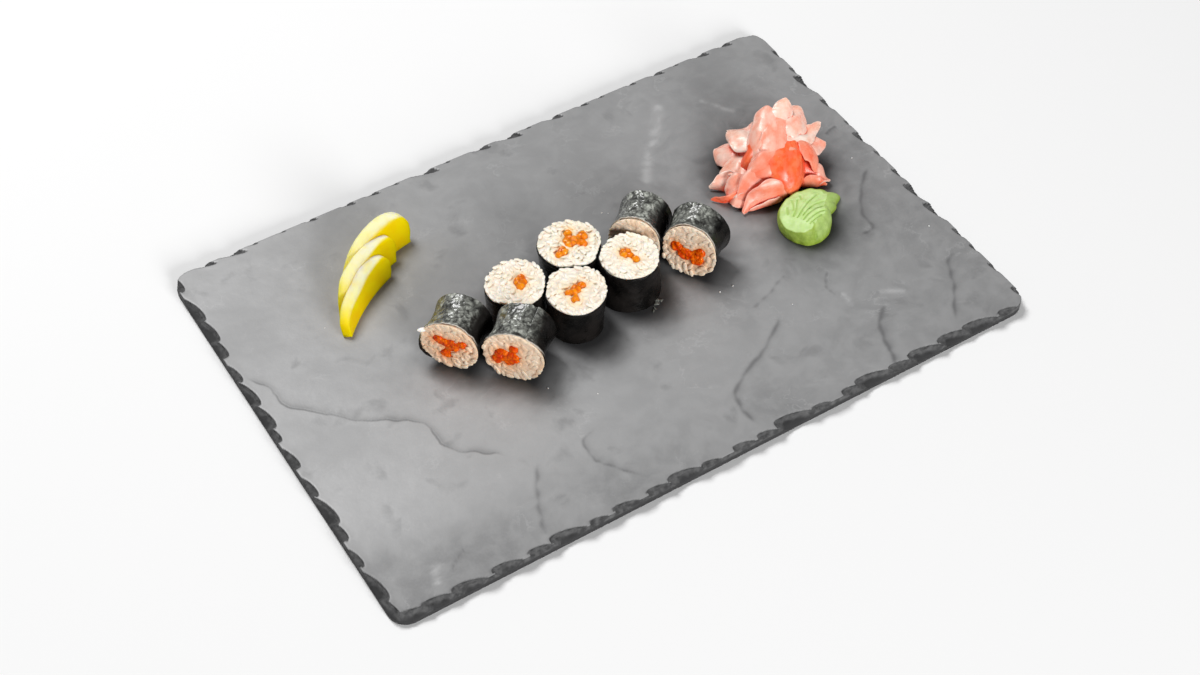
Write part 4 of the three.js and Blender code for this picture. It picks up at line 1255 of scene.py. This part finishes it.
wasabi = {
    "at": (95.5, -14.5),
    "sectors": 240,
    "crown": 8.9,
    "outline": [(-162, 11.7), (-138, 12.3), (-118, 13.1), (-95, 12.7), (-75, 12.2), (-44, 11.8),
                (-12, 12.4), (3, 18), (12, 23.5), (24, 20), (40, 17), (65, 14), (95, 12.2), (125, 11.4),
                (160, 11.2)],
    # where the flat top ends: angle, share of the outline, height, how crisp the crease is
    "brow": [(-172, 1.0, 5.0, 0.8), (-150, 0.99, 5.8, 0.7), (-132, 0.96, 6.8, 0.7), (-114, 0.84, 7.7, 0.9),
             (-100, 0.7, 8.1, 1.0), (-76, 0.58, 8.3, 1.0), (-56, 0.62, 8.4, 1.0), (-40, 0.74, 8.2, 1.0),
             (-16, 0.74, 8.2, 1.0), (-2, 0.64, 8.1, 1.0), (10, 0.6, 7.9, 1.0), (20, 0.78, 7.2, 0.9),
             (34, 0.92, 6.6, 0.7), (60, 0.92, 6.8, 0.5), (95, 0.93, 6.4, 0.5), (140, 0.98, 5.4, 0.6)],
    "stem": (12, 38, 0.3),  # way, spread in degrees, share by which it is lowered
    # cuts pressed into the top
    "veins": [[(-0.8, 8.9), (-2, 6), (-3.6, 3.6)], [(4, 9.2), (2.8, 6.8)],
              [(-6.6, 3.4), (-4.9, 6.6)], [(-5.4, 0.9), (-2.2, 3.6), (1.4, 7.6)],
              [(-4.6, -0.9), (-0.4, 1.2), (4, 3.6), (10.6, 6.4)],
              [(-2.2, -1.6), (2.4, 0.2), (6.4, 1.4), (11.4, 1.6)],
              [(-3.4, -3.6), (0.6, -2.2), (4.6, -1.4), (9.6, -1.4)],
              [(-3, -5.4), (1, -4.3), (4.6, -3.8), (8, -4.2)],
              [(-2.4, -6.9), (1.4, -6), (4.6, -5.6)]],
    "slit": [(-1.2, -8.2, 8.2), (-2.5, -12.4, 3.2)],
    "cutWidth": 0.42,
    "cutDepth": 0.42,
    "lipHeight": 0.16,  # paste raised beside a cut
    "slitDepth": 1.3,
    "sideTones": ((0.22, 0.33, 0.02, 1), (0.32, 0.45, 0.04, 1)),
    "topTones": ((0.52, 0.73, 0.26, 1), (0.64, 0.83, 0.38, 1)),
    "speckTone": (0.15, (0.56, 0.76, 0.22, 1)),
    "grooveTone": (0.55, (0.34, 0.52, 0.07, 1)),
}


# Values round the leaf, eased between the listed angles.
def roundLeaf(listed, angle, column):
    turned = (angle - listed[0][0]) % 360
    stops = np.array([point[0] - listed[0][0] for point in listed] + [360.0])
    values = np.array([point[column] for point in listed] + [listed[0][column]])
    here = np.clip(np.searchsorted(stops, turned, side="right") - 1, 0, len(stops) - 2)
    share = (turned - stops[here]) / (stops[here + 1] - stops[here])
    return values[here] + (values[here + 1] - values[here]) * share * share * (3 - 2 * share)


def lineDistance(spots, line):
    path = smoothLine(line, len(line) * 8)
    best = np.full(len(spots), 1e9)
    for start, end in zip(path[:-1], path[1:]):
        way = end - start
        share = np.clip((spots - start) @ way / (way @ way), 0, 1)
        best = np.minimum(best, np.linalg.norm(spots - start - share[:, None] * way, axis=1))
    return best


def makeWasabiFinish():
    tree, shader = newFinish("wasabiPaste")
    place = objectPlace(tree)
    cloud = mottle(tree, place, 3.5, 4.0, 0.35, 0.68)
    speck = mottle(tree, place, 0.7, 3.0, 0.3, 0.72)
    # painted light: a paler top over darker, more saturated sides, partly painted shade
    side, top = (blendColour(tree, cloud, *wasabi[part]) for part in ("sideTones", "topTones"))
    tone = lay(tree, blendColour(tree, kept(tree, "top"), side, top), speck, *wasabi["speckTone"])
    # painted shade in the cuts
    fill(tree, shader, {
        "Base Color": lay(tree, tone, kept(tree, "groove"), *wasabi["grooveTone"]),
        "Roughness": spread(tree, speck, 0, 1, 0.45, 0.62),
        "Specular IOR Level": 0.3,
        "Subsurface Weight": 0.12,
        "Subsurface Radius": (0.7, 1.0, 0.3),
        "Subsurface Scale": 0.8 * metre,
    })
    bumpUp(tree, shader, skinHeight(tree, place, 1.0, 0.25), 0.55, 0.14)


def makeWasabi():
    makeWasabiFinish()
    angle = np.arange(wasabi["sectors"]) * 360.0 / wasabi["sectors"]
    reach = roundLeaf(wasabi["outline"], angle, 1)
    brow, rise, crisp = (roundLeaf(wasabi["brow"], angle, column) for column in (1, 2, 3))
    toward, width, lowered = wasabi["stem"]
    off = np.abs((angle - toward + 180) % 360 - 180)
    drop = np.where(off < width, 0.5 * lowered * (1 + np.cos(math.pi * off / width)), 0)
    way = np.column_stack([np.cos(np.radians(angle)), np.sin(np.radians(angle))])
    rings = []
    for part in np.linspace(0, 1, 24):  # up the side, bulging a little at its foot
        bulge = 0.05 * math.sin(math.pi * min(1, part * 1.2)) * (1 - part) ** 0.5
        lean = part ** (1.9 - 0.7 * crisp)
        climb = np.sin(0.5 * math.pi * part) ** (1.1 + 0.1 * crisp)
        rings.append((1 - (1 - brow) * lean + bulge, rise * climb))
    for part in np.linspace(0, 1, 46)[1:-1]:  # over the top
        rings.append((brow * (1 - part), rise + (wasabi["crown"] - rise) * part ** 0.9))
    built = []
    for share, high in rings:
        z = restHeight + high * (1 - drop * np.minimum(share, 1))
        built.append(np.column_stack([way * (reach * share)[:, None] + wasabi["at"], z]))
    mesh = lofted(built, "wasabi")
    places = placesOf(mesh)
    leaf = places - [*wasabi["at"], 0]
    ringOf, sector = takeValues(mesh, "ring"), takeValues(mesh, "turn").astype(int)
    upper = step(22.0, 26.0, ringOf)
    groove = np.zeros(len(places))
    ridge = np.zeros(len(places))
    for line in wasabi["veins"]:
        far = lineDistance(leaf[:, :2], line)
        groove = np.maximum(groove, np.exp(-((far / wasabi["cutWidth"]) ** 2)))
        ridge = np.maximum(ridge, np.exp(-(((far - 0.95) / 0.5) ** 2)))
    far = lineDistance(leaf - [0, 0, restHeight], wasabi["slit"])
    slit = np.exp(-((far / wasabi["cutWidth"]) ** 2))
    lumps = 0.22 * roughness(places, 5.5, 3) + 0.06 * roughness(places, 1.3, 2)
    places[:, 2] += (lumps - wasabi["cutDepth"] * groove + wasabi["lipHeight"] * ridge) * upper
    radial = leaf[:, :2] / np.maximum(np.hypot(leaf[:, 0], leaf[:, 1]), 1)[:, None]
    side = (1 - upper) * step(0, 1, places[:, 2] - restHeight)
    places[:, :2] += radial * (lumps * side - wasabi["slitDepth"] * slit)[:, None]
    setPlaces(mesh, places)
    # painted shade in the cuts and the slit
    keep(mesh, "groove", np.maximum(groove * upper, slit))
    # the top is paler than the sides, which are darker as painted shade, most of all low down; the facets on
    # the stem's side are paler than the near wall
    turned = (angle[sector] + 180) % 360 - 180
    facet = step(-108, -92, turned) * step(34, 20, turned)
    low = step(0.0, 5.0, places[:, 2] - restHeight)
    keep(mesh, "top", np.maximum(upper, (0.12 + 0.36 * facet) * low))
    makePiece("wasabiLeaf", mesh, "wasabiPaste", ["wasabi_leaf"])


pickle = {
    "thickness": 3.4,
    "lean": 18,  # degrees
    "apart": 0.4,
    "nose": (-100.2, 30.2),
    "heading": 47.8,  # of the cut edge at the nose, in degrees
    "bend": 84,  # radius of the cut edge
    "base": 36,  # and its length
    "stations": 96,
    "filled": 0.36,  # how much thicker than its solid, so that the slices touch
    "bevel": 3.2,  # how far the rind slopes back over the face
    "lowTones": ((1.0, 0.52, 0.0002, 1), (1.0, 0.57, 0.0004, 1)),
    "highTones": ((1.0, 0.65, 0.0002, 1), (1.0, 0.71, 0.0004, 1)),
    "strandTone": (0.1, (1.0, 0.76, 0.03, 1)),
    "rindAndSheenTones": ((1.0, 0.78, 0.16, 1), (1.0, 0.91, 0.62, 1)),  # at the nose and further back
}

# how far each slice has slid, and its rind as distance along the cut edge and height over it
pickleSlices = [
    (0, [(0, 1.5), (1.8, 6), (6, 8.8), (10, 10.2), (17, 11.3), (24.5, 12.8), (32.8, 12.2), (37.3, 9.9),
         (38.3, 6.1), (37.4, 2.4)]),
    (8, [(0, 1.5), (2.9, 6.3), (6.5, 10.5), (10.2, 13.3), (17, 14.6), (24, 15), (31, 14.4), (37, 12),
         (38.2, 7.5), (36.8, 3)]),
    (19, [(0, 2), (2.5, 7), (6.8, 11), (12.5, 14.8), (20.3, 17.3), (28.5, 17.8), (34.4, 15.2), (37.2, 11),
          (37.4, 6), (36.2, 2)]),
]


# `along` follows the bent cut edge, `rise` climbs the leaning face, `depth` goes into it.
def slicePoint(order, along, rise, depth):
    lean = math.radians(pickle["lean"])
    heading = math.radians(pickle["heading"])
    stack = order * (pickle["thickness"] + pickle["apart"]) / math.cos(lean)
    radius = pickle["bend"] + stack + rise * math.sin(lean) + depth * math.cos(lean)
    turned = heading + math.pi / 2 - (along + pickleSlices[order][0]) / pickle["bend"]
    start = heading + math.pi / 2
    return np.stack([
        radius * np.cos(turned) - pickle["bend"] * math.cos(start) + pickle["nose"][0],
        radius * np.sin(turned) - pickle["bend"] * math.sin(start) + pickle["nose"][1],
        pickle["thickness"] * math.sin(lean) + rise * math.cos(lean) - depth * math.sin(lean) + restHeight,
    ], -1)


# The section of a slice at a share of its length, as share of the height, lift and depth.
def sliceSection(share):
    thick = pickle["thickness"] + pickle["filled"]
    bevel = pickle["bevel"] * (0.45 + 0.55 * float(step(0.0, 0.5, share)))
    bevel *= 1 - 0.96 * float(step(0.48, 0.95, share))
    front = [(part, -bevel * part, 0.0) for part in np.linspace(0, 1, 26)]
    band = []
    for turn in np.linspace(0, math.pi / 2, 14)[1:]:
        band.append((1.0, -bevel * (1 - math.sin(turn)), thick * (1 - math.cos(turn)) ** 0.85))
    back = [(part, 0.0, thick) for part in np.linspace(1, 0, 12)[1:]]
    return front + band + back


def makeSlice(order):
    stations = pickle["stations"]
    crest = smoothLine(pickleSlices[order][1], stations + 1)
    rings = []
    for i in range(stations + 1):
        share = i / stations
        ring = []
        for part, lift, depth in sliceSection(share):
            along = share * pickle["base"] + (crest[i, 0] - share * pickle["base"]) * part
            ring.append(slicePoint(order, along, max(crest[i, 1] * part + lift, 0), depth))
        rings.append(ring)
    mesh = lofted(rings, "slice")
    places = placesOf(mesh)
    share = takeValues(mesh, "ring") / stations
    index = takeValues(mesh, "turn")
    wave = roughness(places, 4.0, 3, order)
    fine = roughness(places, 0.9, 2, order + 3.0)
    outward = places - places.mean(0)
    outward /= np.linalg.norm(outward, axis=1)[:, None]
    raised = step(restHeight + 0.2, restHeight + 1.5, places[:, 2])
    places += outward * (0.1 * wave + 0.03 * fine)[:, None] * raised[:, None]
    setPlaces(mesh, places)
    # the pale rind with a painted sheen on it, which thins out to a horn at each end
    start = 22.0 + 12.0 * step(0.5, 0.97, share)
    band = step(0.0, 5.0, index - start) * step(40.5, 39.0, index)
    ends = step(0.05, 0.4, share) * step(1.0, 0.84, share)
    keep(mesh, "rind", np.clip(band * ends * (0.95 + 0.4 * wave), 0, 1))
    keep(mesh, "rise", np.clip(index / 26, 0, 1))
    keep(mesh, "share", share)
    number = order + 1
    makePiece(f"pickleSlice_{number}", mesh, "yellowPickle", [f"pickle_slice_{number}"])


def makePickleFinish():
    tree, shader = newFinish("yellowPickle")
    place = objectPlace(tree)
    share = kept(tree, "share")
    cloud = mottle(tree, place, 5.0, 4.0, 0.35, 0.68)
    fibre = put(tree, "ShaderNodeMapping", {
        "Vector": place, "Rotation": (0.3, 0.2, 0.84), "Scale": (0.35, 1.5, 1.2)}).outputs[0]
    strand = mottle(tree, fibre, 1.4, 4.0, 0.35, 0.7)
    low, high = (blendColour(tree, cloud, *pickle[part]) for part in ("lowTones", "highTones"))
    tone = blendColour(tree, spread(tree, sums(tree, "ADD", kept(tree, "rise"), share), 0.3, 1.3), low, high)
    tone = lay(tree, tone, strand, *pickle["strandTone"])
    # pale rind with a painted sheen
    rind = blendColour(tree, spread(tree, share, 0.05, 0.65), *pickle["rindAndSheenTones"])
    fill(tree, shader, {
        "Base Color": blendColour(tree, kept(tree, "rind"), tone, rind),
        "Roughness": spread(tree, strand, 0, 1, 0.3, 0.42),
        "Specular IOR Level": 0.05,
        "Subsurface Weight": 0.8,
        "Subsurface Radius": (1.0, 1.0, 0.04),
        "Subsurface Scale": 5.0 * metre,
    })
    bumpUp(tree, shader, skinHeight(tree, fibre, 1.6, 0.35), 0.15, 0.1)


def makePickle():
    makePickleFinish()
    for order in range(len(pickleSlices)):
        makeSlice(order)


ginger = {
    "at": (100, 21),
    "thickness": 0.5,
    "along": 46,  # faces along a slice and across it
    "across": 20,
    "wider": 1.1,  # how much wider than listed
    "pleatPitch": 1.45,
    "pleatHeight": 0.5,
    "floor": 0.5,  # a slice eases out over the board at this height
    "core": (16.0, 18.0),  # radius and height of the heap's inside
    "shutReach": 9.0,
    "paleTones": ((1.0, 0.54, 0.40, 1), (1.0, 0.82, 0.72, 1)),
    "deepTones": ((1.0, 0.11, 0.024, 1), (1.0, 0.19, 0.06, 1)),
    "shutInShade": (0.85, (1.0, 0.07, 0.012, 1)),
    "foldTone": (0.38, (1.0, 0.13, 0.035, 1)),
    "strandTone": (1.0, 0.76, 0.64, 1),
    "rimTone": (1.0, 0.86, 0.78, 1),
}

# Each slice: its middle line from the heap's middle, widths, tone from pale (0) to deep (1),
# cup across it, ruffle of its edges, and how round its tip is.
gingerSlices = [
    ([(1.1, 3.7, 18), (-1.7, 9.4, 16), (-4.9, 15.3, 14), (-7.5, 19.8, 11)],
     (14, 18, 16, 7), 0.05, 2.4, 0.7, 0.3),
    ([(-4.7, 1.1, 14), (-6.7, 4.8, 12), (-9.2, 7.2, 10), (-11.9, 6.9, 8)],
     (11, 13, 12, 8), 0.75, 2.0, 0.5, 0.5),
    ([(7.7, 12.5, 25), (1.8, 4.6, 23), (-5.4, -3.2, 18), (-12.6, -6.4, 13.5)],
     (8, 12, 15, 10), 0.35, 2.6, 0.6, 0.6),
    ([(10.3, 7.7, 24), (4.7, 0.3, 22), (-0.9, -7.2, 19), (-5.8, -10.2, 15)],
     (7, 11, 14, 10), 0.5, 2.0, 0.8, 0.5),
    ([(9.1, 3.5, 22), (11.8, 6.1, 24.5), (14.9, 9.1, 26), (16.4, 10.6, 27)],
     (9, 9, 6, 2), 0.0, 1.6, 0.3, 0.2),
    ([(7.2, -0.2, 20), (12.1, 0.8, 21.5), (18.4, 4.2, 21), (23.2, 8.5, 20)],
     (10, 14, 16, 12), 0.15, 3.2, 0.3, 0.9),
    ([(8.6, 1.6, 19), (14.1, -2.3, 17), (21.4, -3, 14.5), (29.6, 1.3, 13.5)],
     (8, 11, 9, 2), 0.0, 2.0, 0.4, 0.1),
    ([(9.3, 0.2, 18), (14.7, -3.9, 15), (20.9, -7.1, 12), (26.8, -7.5, 10)],
     (8, 12, 11, 4), 0.45, 2.0, 0.5, 0.3),
    ([(8.2, -10.4, 17), (-1.3, -12.7, 16), (-9.5, -11.8, 14), (-16.7, -8.1, 11)],
     (7, 13, 15, 7), 0.68, 2.6, 0.6, 0.3),
    ([(11.6, -5.6, 17), (8.2, -13.4, 14.6), (3.4, -19.2, 10), (-1.2, -22.3, 4.4)],
     (14, 22, 24, 15), 1.0, 3.6, 0.2, 0.8),
    ([(16.9, -2.3, 14), (18.4, -8.1, 12), (18, -13.8, 8.5), (15.3, -17.3, 5)],
     (12, 16, 15, 10), 0.8, 2.8, 0.4, 0.8),
    ([(-3, -20.6, 5), (-10.5, -18.6, 4.4), (-17.5, -17, 3), (-24, -17.5, 0.8)],
     (10, 15, 11, 3), 0.62, 2.0, 0.4, 0.2),
    ([(-3.5, -15.6, 10), (-10.4, -14.3, 8.5), (-17.4, -13.8, 6), (-22.7, -12.5, 3.4)],
     (12, 16, 14, 8), 0.6, 2.6, 0.4, 0.6),
    ([(-5, -20, 2), (-9.7, -19.7, 1.2), (-15.3, -18.5, 0.9), (-21.5, -17.2, 0.7)],
     (6, 7, 6, 3), 0.5, 0.2, 0.2, 0.2),
    ([(-8.6, 4.5, 12), (-12.5, 6.1, 9), (-16.8, 6.5, 6), (-20.4, 5.8, 3.5)],
     (12, 16, 17, 12), 0.1, 2.2, 0.4, 0.8),
    ([(-12.9, -2.6, 10), (-17.6, -3.7, 8), (-21.8, -5.5, 5), (-25.7, -8.5, 2.4)],
     (13, 16, 14, 7), 0.05, 2.2, 0.5, 0.4),
    ([(-17.3, -3.4, 6), (-20.8, -1, 4), (-24.7, 0.9, 2.5), (-28.1, 2.8, 1.4)],
     (8, 9, 7, 3), 0.1, 1.2, 0.4, 0.1),
    ([(-18.8, -9.6, 1.8), (-23.6, -9.2, 1.3), (-27.7, -7.4, 1), (-31, -3.2, 0.9)],
     (8, 10, 8, 3), 0.9, 0.4, 0.2, 0.2),
    ([(-14.6, -9.7, 9), (-19, -10.3, 7), (-22.7, -11.5, 4.5), (-25.4, -12.9, 2)],
     (12, 15, 13, 6), 0.4, 2.2, 0.4, 0.5),
    ([(8.3, -14.5, 7), (13, -16.6, 5), (16.7, -18.8, 3.6), (19.3, -22, 2.4)],
     (9, 10, 8, 4), 0.5, 1.4, 0.3, 0.4),
    ([(6.7, -18, 4), (11.1, -19.3, 3), (14.4, -21, 2.2), (17, -22.4, 1.6)],
     (6, 7, 5, 2), 0.8, 0.6, 0.2, 0.4),
    ([(2, 6, 12), (4, 12, 12), (5, 18, 9), (5, 23, 4)],
     (12, 18, 18, 11), 0.3, 2.6, 0.6, 0.6),
    ([(7, 5, 11), (12, 9, 10), (16, 13, 7), (20, 16, 3)],
     (12, 17, 17, 10), 0.3, 2.6, 0.6, 0.6),
    ([(9, 1, 9), (15, 3, 8), (20, 5, 5), (25, 6, 2)],
     (11, 14, 14, 8), 0.4, 2.2, 0.6, 0.5),
    ([(-4, 6, 11), (-8, 12, 9), (-11, 16, 6), (-14, 20, 2.5)],
     (12, 17, 17, 10), 0.25, 2.4, 0.6, 0.6),
    ([(0, 4, 15), (3, 9, 17), (5, 14, 15), (6, 19, 11)],
     (12, 17, 16, 8), 0.2, 2.6, 0.6, 0.6),
]


# One slice: `run` goes along it from 0 to 1, and `lane` across it from -1 to 1.
def gingerSheet(order, line, widths, cup, ruffle, tip):
    shape = bmesh.new()
    bmesh.ops.create_grid(shape, x_segments=ginger["along"], y_segments=ginger["across"], size=0.5)
    mesh = meshFrom(shape, "sheet")
    share = placesOf(mesh) + 0.5
    run, lane = share[:, 0], 2 * share[:, 1] - 1
    steps = 200
    spine = smoothLine(line, steps + 1)
    wide = smoothLine(np.array(widths, float)[:, None], steps + 1)[:, 0]
    slope = np.gradient(spine, axis=0)
    slope /= np.linalg.norm(slope, axis=1)[:, None]
    out = spine - [0, 0, 5.0]
    out /= np.linalg.norm(out, axis=1)[:, None]
    out = out - (out * slope).sum(1)[:, None] * slope
    out /= np.linalg.norm(out, axis=1)[:, None]
    side = np.cross(out, slope)
    here = np.minimum((run * steps).round().astype(int), steps)
    rounded = 0.16 * (0.4 + tip)
    close = np.clip((run - 1 + rounded) / rounded, 0, 1)
    shrink = np.sqrt(np.maximum(1 - close**2, 0.02)) * (1 - (1 - tip) * 0.35 * step(0.55, 1, run))
    shrink = shrink * np.sqrt(np.maximum(1 - np.clip(1 - run / 0.14, 0, 1) ** 2, 0.06))
    half = 0.5 * ginger["wider"] * wide[here] * shrink
    edge = np.abs(lane)
    waves = np.sin(9 * run + 2.1 * order + 1.4 * lane) + 0.6 * np.sin(17 * run - order + 2.5 * lane)
    lift = -cup * lane**2 * half / 5 + ruffle * waves * edge**2.5 * step(0, 0.2, run)
    pleat = ginger["pleatPitch"] * lane * half / 4 + 0.9 * np.sin(2.6 * run + order) + 1.3 * order
    pleat = np.abs(np.sin(pleat))
    body = step(0, 0.2, run) * step(1, 0.85, run)
    lift += ginger["pleatHeight"] * (pleat - 0.65) * body
    points = spine[here] + side[here] * (half * lane)[:, None] + out[here] * lift[:, None]
    spots = points + 13.0 * order
    points = points + 0.3 * np.column_stack([roughness(spots + far, 5.0, 2) for far in (0, 50, 90)])
    over = points[:, 2] - ginger["floor"] - 1
    points[:, 2] = np.where(over < 0, ginger["floor"] + np.exp(np.minimum(over, 0)), points[:, 2])
    setPlaces(mesh, points + [*ginger["at"], restHeight])
    keep(mesh, "rim", np.maximum(step(0.82, 1, edge), step(0.95, 1, run)))
    keep(mesh, "fold", (1 - pleat) ** 2 * body)
    keep(mesh, "lane", lane * half / 4)
    keep(mesh, "run", run * 3 + order * 7.7)
    return shaped(mesh, ("SOLIDIFY", {"thickness": ginger["thickness"], "offset": 0.0}))


# How shut in each place is, from rays sent out all round it.
def shutIn(mesh, reach):
    shape = bmesh.new()
    shape.from_mesh(mesh)
    tree = BVHTree.FromBMesh(shape)
    ways = [Vector((math.cos(a) * math.cos(b), math.sin(a) * math.cos(b), math.sin(b)))
            for b in (0.15, 0.75, 1.3) for a in np.arange(5) * 2 * math.pi / 5 + b]
    found = []
    for vertex in shape.verts:
        start = vertex.co + vertex.normal * 0.25
        hits = 0.0
        for way in ways:
            hit = tree.ray_cast(start, way, reach)[3]
            hits += 0 if hit is None else 1 - 0.6 * hit / reach
        found.append(hits / len(ways))
    shape.free()
    return np.array(found)


# The inside of the heap, which shows only deep between the slices.
def gingerCore():
    radius, height = ginger["core"]
    turn = np.arange(40) * 2 * math.pi / 40
    rings = []
    for rise in np.linspace(0, 1.45, 12):
        uneven = 1 + 0.12 * np.sin(3 * turn + 4 * rise) + 0.07 * np.sin(7 * turn - 3 * rise)
        reach = radius * math.cos(rise) ** 0.8 * uneven
        rings.append(ringAt(*ginger["at"], reach, turn, height * math.sin(rise) + restHeight))
    core = lofted(rings, "core")
    keepEven(core, rim=0.0, fold=0.0, lane=0.0, run=0.0, tone=1.0)
    return core


def makeGingerFinish():
    tree, shader = newFinish("pickledGinger")
    place = objectPlace(tree)
    flow = put(tree, "ShaderNodeCombineXYZ", {0: kept(tree, "lane"), 1: kept(tree, "run"), 2: 0.0})
    fibre = put(tree, "ShaderNodeTexNoise", {"Vector": flow.outputs[0], "Scale": 2.4, "Detail": 5.0})
    strand = spread(tree, fibre.outputs["Fac"], 0.35, 0.68)
    cloud = mottle(tree, place, 6.0, 3.0, 0.35, 0.68)
    tone, shut = kept(tree, "tone"), kept(tree, "shut")
    pale, deep = (blendColour(tree, cloud, *ginger[part]) for part in ("paleTones", "deepTones"))
    colour = blendColour(tree, tone, pale, deep)
    # painted shade: deep red where the heap is shut in, and along the pleats
    colour = lay(tree, colour, spread(tree, shut, 0.25, 0.62), *ginger["shutInShade"])
    colour = lay(tree, colour, kept(tree, "fold"), *ginger["foldTone"])
    colour = lay(tree, colour, strand, spread(tree, tone, 0.0, 1.0, 0.2, 0.08), ginger["strandTone"])
    # painted light: pale edges where the heap is open, as light coming through the thin slices
    rim = times(tree, kept(tree, "rim"), spread(tree, shut, 0.6, 0.2))
    colour = lay(tree, colour, rim, spread(tree, tone, 0.2, 0.9, 0.6, 0.12), ginger["rimTone"])
    fill(tree, shader, {
        "Base Color": colour,
        "Roughness": spread(tree, strand, 0, 1, 0.24, 0.36),
        "Specular IOR Level": 0.4,
        "Subsurface Weight": 0.12,
        "Subsurface Radius": (1.0, 0.8, 0.7),
        "Subsurface Scale": 0.4 * metre,
    })
    bumpUp(tree, shader, sums(tree, "ADD", strand, skinHeight(tree, place, 1.4, 0.4)), 0.16, 0.12)


def makeGinger():
    makeGingerFinish()
    parts = []
    for order, (line, widths, tone, cup, ruffle, tip) in enumerate(gingerSlices):
        mesh = gingerSheet(order, line, widths, cup, ruffle, tip)
        keepEven(mesh, tone=tone)
        parts.append(mesh)
    mesh = joined(parts + [gingerCore()], "ginger")
    keep(mesh, "shut", np.clip(shutIn(mesh, ginger["shutReach"]), 0, 1))
    makePiece("gingerHeap", mesh, "pickledGinger", ["ginger"])


# Small things fallen beside the rolls: a grain stuck to a rim, flakes of seaweed, crumbs.
scraps = {
    "grain": (-80.4, 4.5, 24.6),
    "flakes": [(15.6, -15.2, 1.0, 0.4), (17.0, -17.4, 1.3, 2.0), (18.3, -16.0, 0.9, 1.1),
               (16.2, -19.6, 1.1, 2.9), (18.9, -19.1, 0.8, 0.2), (14.3, -21.2, 1.0, 1.6),
               (19.6, -13.6, 0.8, 2.3), (12.7, -22.3, 0.7, 0.9)],  # place, size and turn
    "crumbs": [(24.7, 36.8), (49, -28), (42.4, -28), (137.5, 7), (140.8, -44), (26.9, 35.2), (-45.6, -34.2),
               (-107.2, 41.2), (64.3, -49.5), (-30.1, -47.2)],
}


def makeScraps():
    draw = seeded(77)
    shape = bmesh.new()
    stretch = Matrix.Diagonal((2.2, 0.95, 0.85, 1))
    place = Matrix.Translation(scraps["grain"]) @ Matrix.Rotation(math.radians(-20), 4, "Z") @ stretch
    bmesh.ops.create_icosphere(shape, subdivisions=3, radius=1, matrix=place)
    for x, y in scraps["crumbs"]:
        size = 0.2 + 0.16 * draw()
        place = Matrix.Translation((x, y, board["thickness"] + 0.2 * size))
        place = place @ Matrix.Rotation(3 * draw(), 4, "Z")
        place = place @ Matrix.Diagonal((size * (1 + draw()), size, 0.6 * size, 1))
        bmesh.ops.create_icosphere(shape, subdivisions=2, radius=1, matrix=place)
    mesh = meshFrom(shape, "crumbs")
    keepEven(mesh, tone=1.0, crease=0.0, stain=0.0, peach=0.0)
    makePiece("looseRice", mesh, "cookedRice", [])
    shape = bmesh.new()
    for x, y, size, turn in scraps["flakes"]:
        place = Matrix.Translation((x, y, board["thickness"] + 0.15)) @ Matrix.Rotation(turn, 4, "Z")
        place = place @ Matrix.Diagonal((size * 1.3, size * (0.5 + 0.4 * draw()), 0.3, 1))
        bmesh.ops.create_icosphere(shape, subdivisions=3, radius=1, matrix=place)
    mesh = meshFrom(shape, "flakes")
    places = placesOf(mesh)
    torn = np.column_stack([roughness(places + far, 1.1, 2) for far in (0, 30, 60)])
    setPlaces(mesh, places + torn * [0.5, 0.5, 0.2])
    keepEven(mesh, film=0.7, crease=0.1, edge=0.0, olive=0.0)
    makePiece("noriFlakes", mesh, "moistNori", [])


makeCamera()
makeStudio()
makeMottle()
makeSkin()
makeBoard()
makeRolls()
makeWasabi()
makePickle()
makeGinger()
makeScraps()
